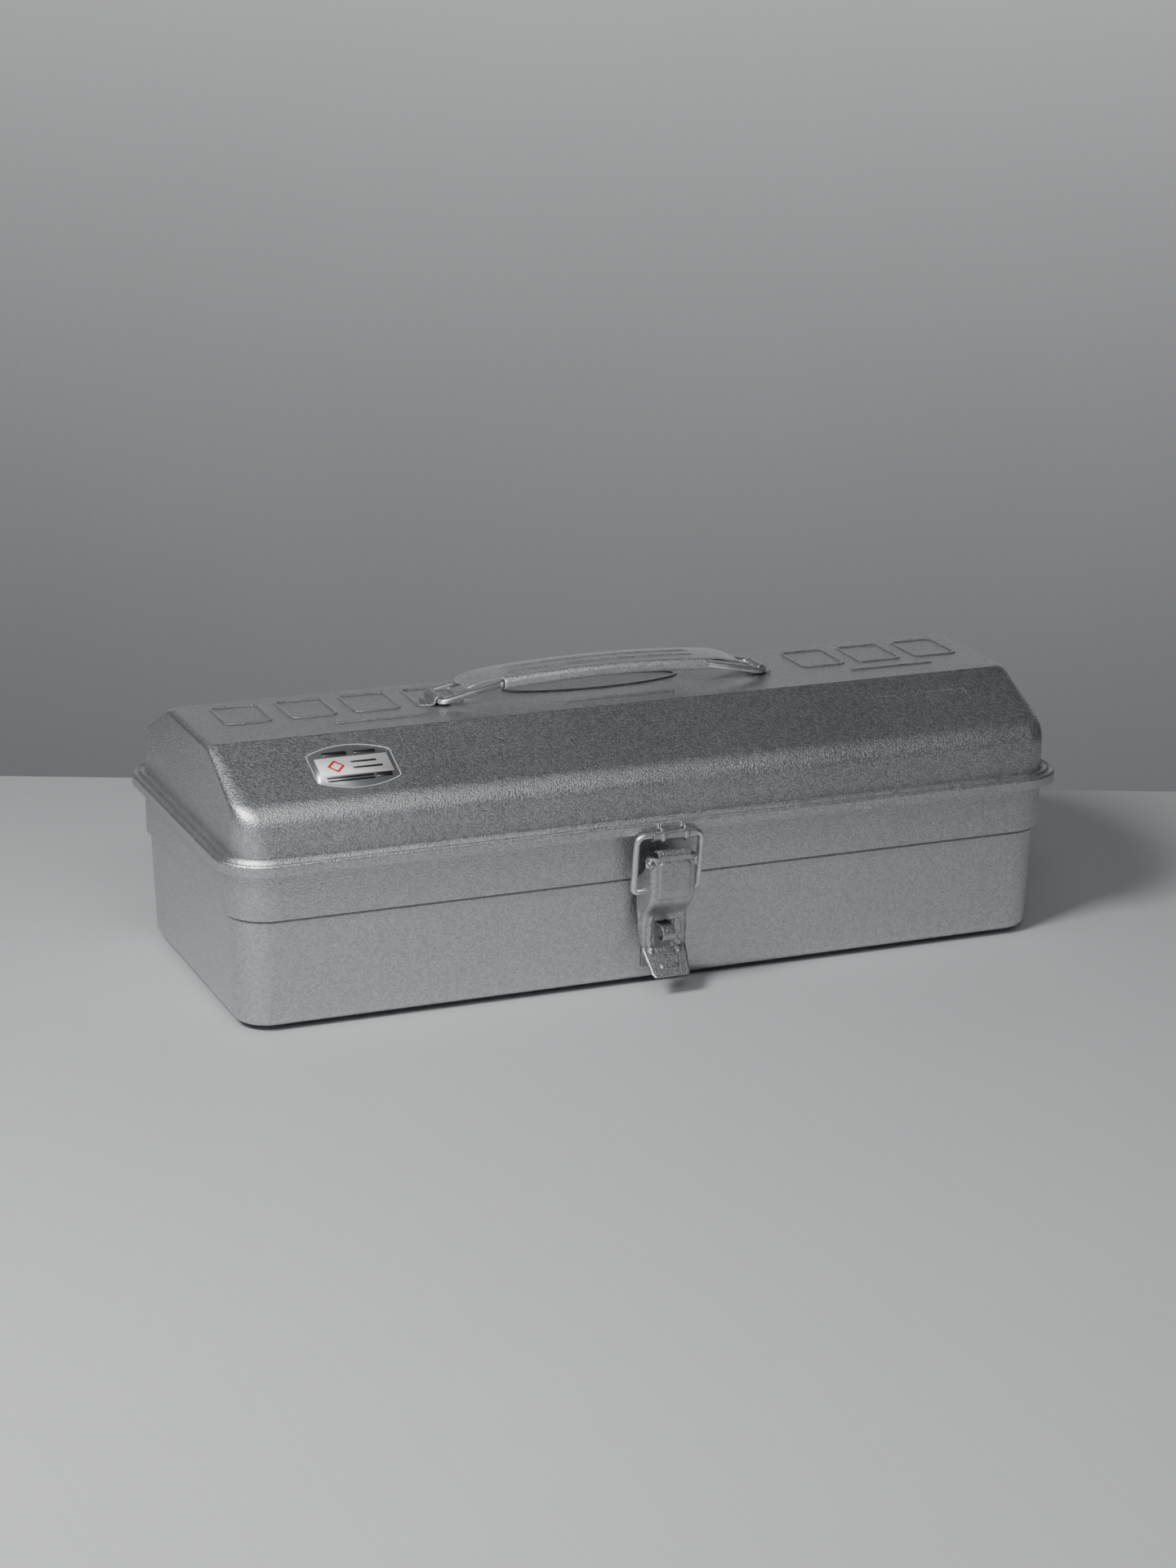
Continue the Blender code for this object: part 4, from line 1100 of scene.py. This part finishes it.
def latch_base():
    """The plate on the front wall; its tongue reaches forward and rolls round the pin."""
    lift = GAP + LATCH_SHEET / 2
    behind = PIN[0] - CURL
    run = round_path([(wall_front(BASE_LOW) + lift, BASE_LOW),
                      (wall_front(BASE_SHELF) + lift, BASE_SHELF),
                      (behind, BASE_SHELF + 1.0 * MM), (behind, PIN[1])], mm(1.5, 2.0), 8)
    run = resample(run, MESH_STEP)
    path = front(run[:-1] + arc(PIN, CURL, 180, -100, 36))
    marks = [LATCH_X + x for x in (-BASE_HALF, -TONGUE_HALF, TONGUE_HALF, BASE_HALF)]
    stations = stations_between(marks, MESH_STEP)

    def keep(r, x):
        return path[r + 1][1] < BASE_SHELF - 2.5 * MM or abs(x - LATCH_X) < TONGUE_HALF

    # Its dark paint is painted shade for the shadowed window behind the lever.
    place_piece("latch_back_plate", relief_strip(path, stations, None, keep), BASE_SHADE_PAINT, "body",
                ["latch_base"], sheet=LATCH_SHEET)


def padlock_staple():
    """The rolled eye on the base plate that comes out through the lever's window."""
    high, low = STAPLE_Z
    plate = wall_front(35 * MM) + 2 * GAP + 1.5 * LATCH_SHEET
    radius = (high - low) / 2
    centre = (STAPLE_FRONT, (high + low) / 2)
    run = round_path([(plate, 36.5 * MM), (plate, high), (centre[0], centre[1] + radius)],
                     [1.5 * MM], 8)
    run = resample(run, MESH_STEP)
    tail = [Vector((STAPLE_FRONT - 3.2 * MM, low + 0.4 * MM))]
    path = front(run[:-1] + arc(centre, radius, 90, -90, 30) + tail)
    stations = stations_between([LATCH_X - STAPLE_HALF, LATCH_X + STAPLE_HALF], MESH_STEP)
    place_piece("latch_eye", relief_strip(path, stations), LATCH_PAINT, "body", ["padlock_staple"],
                sheet=LATCH_SHEET)


# ------ label

def label_outline(inset=0.0):
    """Straight sides, bowed top and bottom, and rounded corners."""
    half, high = LABEL_SIZE[0] / 2 - inset, LABEL_SIZE[1] / 2 - inset
    shares = [1.0 - i / 8 for i in range(17)]
    bow = [(half * s, high + LABEL_BOW * (1 - s * s)) for s in shares]
    radii = [LABEL_CORNER - inset] + [12.0 * MM] * 15 + [LABEL_CORNER - inset]
    top = round_path([(half, 0.0)] + bow + [(-half, 0.0)], radii, 5)[:-1]
    return top + [-p for p in top]


def block_outline(half_x, half_y, radius, turn=0.0):
    """A rounded block's outline, turned about its middle."""
    rotation = Matrix.Rotation(turn, 2)
    return [rotation @ p.xy for p in rounded_rectangle(half_x, half_y, radius, 0.0, 5)]


def label_part(name, outline, centre, low, high, finish, hole=None):
    """A thin solid on the slope; with a hole it is a line round its outline."""
    origin = SLOPE_LOW.lerp(SLOPE_HIGH, LABEL_HEIGHT) + Vector((LABEL_X, 0.0, 0.0))

    def lifted(points, lift):
        out = []
        for p in points:
            flat = Vector((p[0] + centre[0], 0.0, 0.0)) + SLOPE_UP * (p[1] + centre[1])
            out.append(origin + flat + SLOPE_OUT * lift)
        return out

    loops = [lifted(outline, low), lifted(outline, high)]
    if hole:
        loops += [lifted(hole, high), lifted(hole, low)]
    place_piece(name, closed_relief(loops, bool(hole)), finish, "lid",
                ["sticker"] if name == "label_film_sheet" else [])


def label():
    """Film with a light border, a white panel, a red mark and dark bars."""
    film = 0.12 * MM
    ink = film + 0.04 * MM
    top = film + 0.08 * MM
    label_part("label_film_sheet", label_outline(), (0, 0), 0.02 * MM, film, FILM)
    label_part("label_film_border", label_outline(), (0, 0), 0.02 * MM, ink, FILM_EDGE,
               label_outline(LABEL_EDGE))
    label_part("label_white_panel", block_outline(*LABEL_PANEL, 0.3 * MM), LABEL_PANEL_PLACE,
               0.05 * MM, ink, WHITE_INK)
    label_part("label_red_mark", block_outline(2.6 * MM, 2.6 * MM, 0.6 * MM, pi / 4),
               LABEL_MARK_PLACE, ink - 0.03 * MM, top, RED_INK,
               block_outline(1.6 * MM, 1.6 * MM, 0.3 * MM, pi / 4))
    for i, ((x, y), (half_x, half_y)) in enumerate(LABEL_BARS):
        label_part(f"label_bar_{i + 1}", block_outline(half_x * MM, half_y * MM, half_y * 0.7 * MM),
                   (x * MM, y * MM), 0.05 * MM, top, DARK_INK)


# ------ stage, light and camera

CAMERA_PLACE = Vector((-0.53264, -1.26243, 0.48673))
CAMERA_YAW = radians(22.734)
CAMERA_PITCH = radians(17.165)
CAMERA_ROLL = radians(0.765)
CAMERA_LENS = 80.44
CAMERA_SENSOR = 36.0
CAMERA_FOOT = Vector((CAMERA_PLACE.x, CAMERA_PLACE.y, 0))
AHEAD = Vector((sin(CAMERA_YAW), cos(CAMERA_YAW), 0))
ACROSS = Vector((cos(CAMERA_YAW), -sin(CAMERA_YAW), 0))
UP = Vector((0, 0, 1))

# Stage, in metres from the point under the camera
TABLE_BACK = 1.576
TABLE_NEAR = -3.0
TABLE_HALF = 4.0
WALL_AWAY = TABLE_BACK + 2.2
WALL_HALF = 6.0
WALL_Z = (-3.0, 0.9)

# Each light's place, target, size and power
STUDIO_LIGHTS = {
    "key": ((-0.68, -0.40, 0.77), (0.05, -0.12, 0.0), (0.30, 0.30), 11.2),
    "top_strip": ((-0.10, -0.32, 1.25), (-0.05, -0.05, 0.05), (0.8, 0.2), 1.0),
    "front_strip": ((-0.22, -1.00, 0.92), (0, -0.05, 0.05), (0.5, 0.18), 2.7),
}
WALL_WASH_AWAY = TABLE_BACK + 1.5
WALL_WASH_Z = 0.85
WALL_WASH_DROP = 0.6
WALL_WASH_SIZE = (3.0, 0.3)
WALL_WASH_POWER = 21.0
WORLD_COLOUR = (0.80, 0.82, 0.85, 1)
WORLD_STRENGTH = 0.078


def stage_quad(name, corners, finish):
    """One flat face of the stage."""
    mesh = bpy.data.meshes.new(name)
    mesh.from_pydata(corners, [], [(0, 1, 2, 3)])
    mesh.materials.append(finish)
    item = added(name, mesh)


def matt(name, tone, roughness):
    """Matt paint with faint long brush marks."""
    n = Nodes(name)
    brushed = n.add("Mapping", {"Vector": n.place, "Rotation": (0, 0, -CAMERA_YAW),
                                "Scale": (6.0, 0.5, 1.0)}).outputs["Vector"]
    streaks = n.noise(60.0, 4.0, 0.6, brushed)
    cloud = n.noise(3.0)
    share = n.add("Math", {0: n.ramp(streaks, 0.3, 0.7, 0.0, 0.5),
                           1: n.ramp(cloud, 0.3, 0.7, 0.0, 0.5)}, operation="ADD").outputs["Value"]
    tone_colour = n.mix(share, colour(tone * 0.965), colour(tone * 1.03))
    return n.set(Base_Color=tone_colour, Roughness=roughness)


def stage():
    """A table top whose back edge lies behind the box, and a plain wall beyond it."""
    back = CAMERA_FOOT + AHEAD * TABLE_BACK
    near = CAMERA_FOOT + AHEAD * TABLE_NEAR
    side = ACROSS * TABLE_HALF
    table = matt("table_paint", 0.52, 0.55)
    wall = matt("wall_paint", 0.50, 0.8)
    stage_quad("table_top", [back - side, near - side, near + side, back + side], table)
    far = CAMERA_FOOT + AHEAD * WALL_AWAY
    side = ACROSS * WALL_HALF
    low, high = [UP * z for z in WALL_Z]
    stage_quad("wall", [far - side + low, far + side + low, far + side + high, far - side + high], wall)


def area_light(name, place, target, size, power):
    """A soft rectangular light, in watts, that faces its target."""
    data = bpy.data.lights.new(name, "AREA")
    data.shape = "RECTANGLE"
    data.size, data.size_y = size
    data.energy = power
    lamp = added(name, data)
    lamp.location = place
    lamp.rotation_euler = (Vector(target) - Vector(place)).to_track_quat("-Z", "Y").to_euler()


def lights():
    """A dim room, a key from the left, two soft strips and a wash on the wall."""
    world = bpy.data.worlds.new("studio")
    world.use_nodes = True
    background = world.node_tree.nodes["Background"]
    background.inputs["Color"].default_value = WORLD_COLOUR
    background.inputs["Strength"].default_value = WORLD_STRENGTH
    bpy.context.scene.world = world
    for name, values in STUDIO_LIGHTS.items():
        area_light(name, *values)
    wash = CAMERA_FOOT + AHEAD * WALL_WASH_AWAY + UP * WALL_WASH_Z
    area_light("wall_wash", wash, wash + AHEAD - UP * WALL_WASH_DROP, WALL_WASH_SIZE, WALL_WASH_POWER)


def camera():
    """The photograph's view: a long lens from the left, a little above the box."""
    ahead = AHEAD * cos(CAMERA_PITCH) - UP * sin(CAMERA_PITCH)
    up = ACROSS.cross(ahead)
    side = ACROSS * cos(CAMERA_ROLL) + up * sin(CAMERA_ROLL)
    rise = up * cos(CAMERA_ROLL) - ACROSS * sin(CAMERA_ROLL)
    data = bpy.data.cameras.new("camera")
    data.lens = CAMERA_LENS
    data.sensor_width = CAMERA_SENSOR
    data.sensor_height = CAMERA_SENSOR
    data.sensor_fit = "VERTICAL"
    data.clip_start = 0.05
    item = added("camera", data)
    turn = Matrix((side, rise, -ahead)).transposed().to_4x4()
    item.matrix_world = Matrix.Translation(CAMERA_PLACE) @ turn
    bpy.context.scene.camera = item


# ------ assembly

body_shell()
lid_shell()
lid_relief()
tray()
tray_divider()
hinges()
handle_grip()
for side_name, side in SIDES:
    handle_link(side_name, side)
    handle_bridge(side_name, side)
latch_base()
padlock_staple()
latch_pin()
latch_lever()
latch_bail()
latch_keeper()
label()
stage()
lights()
camera()
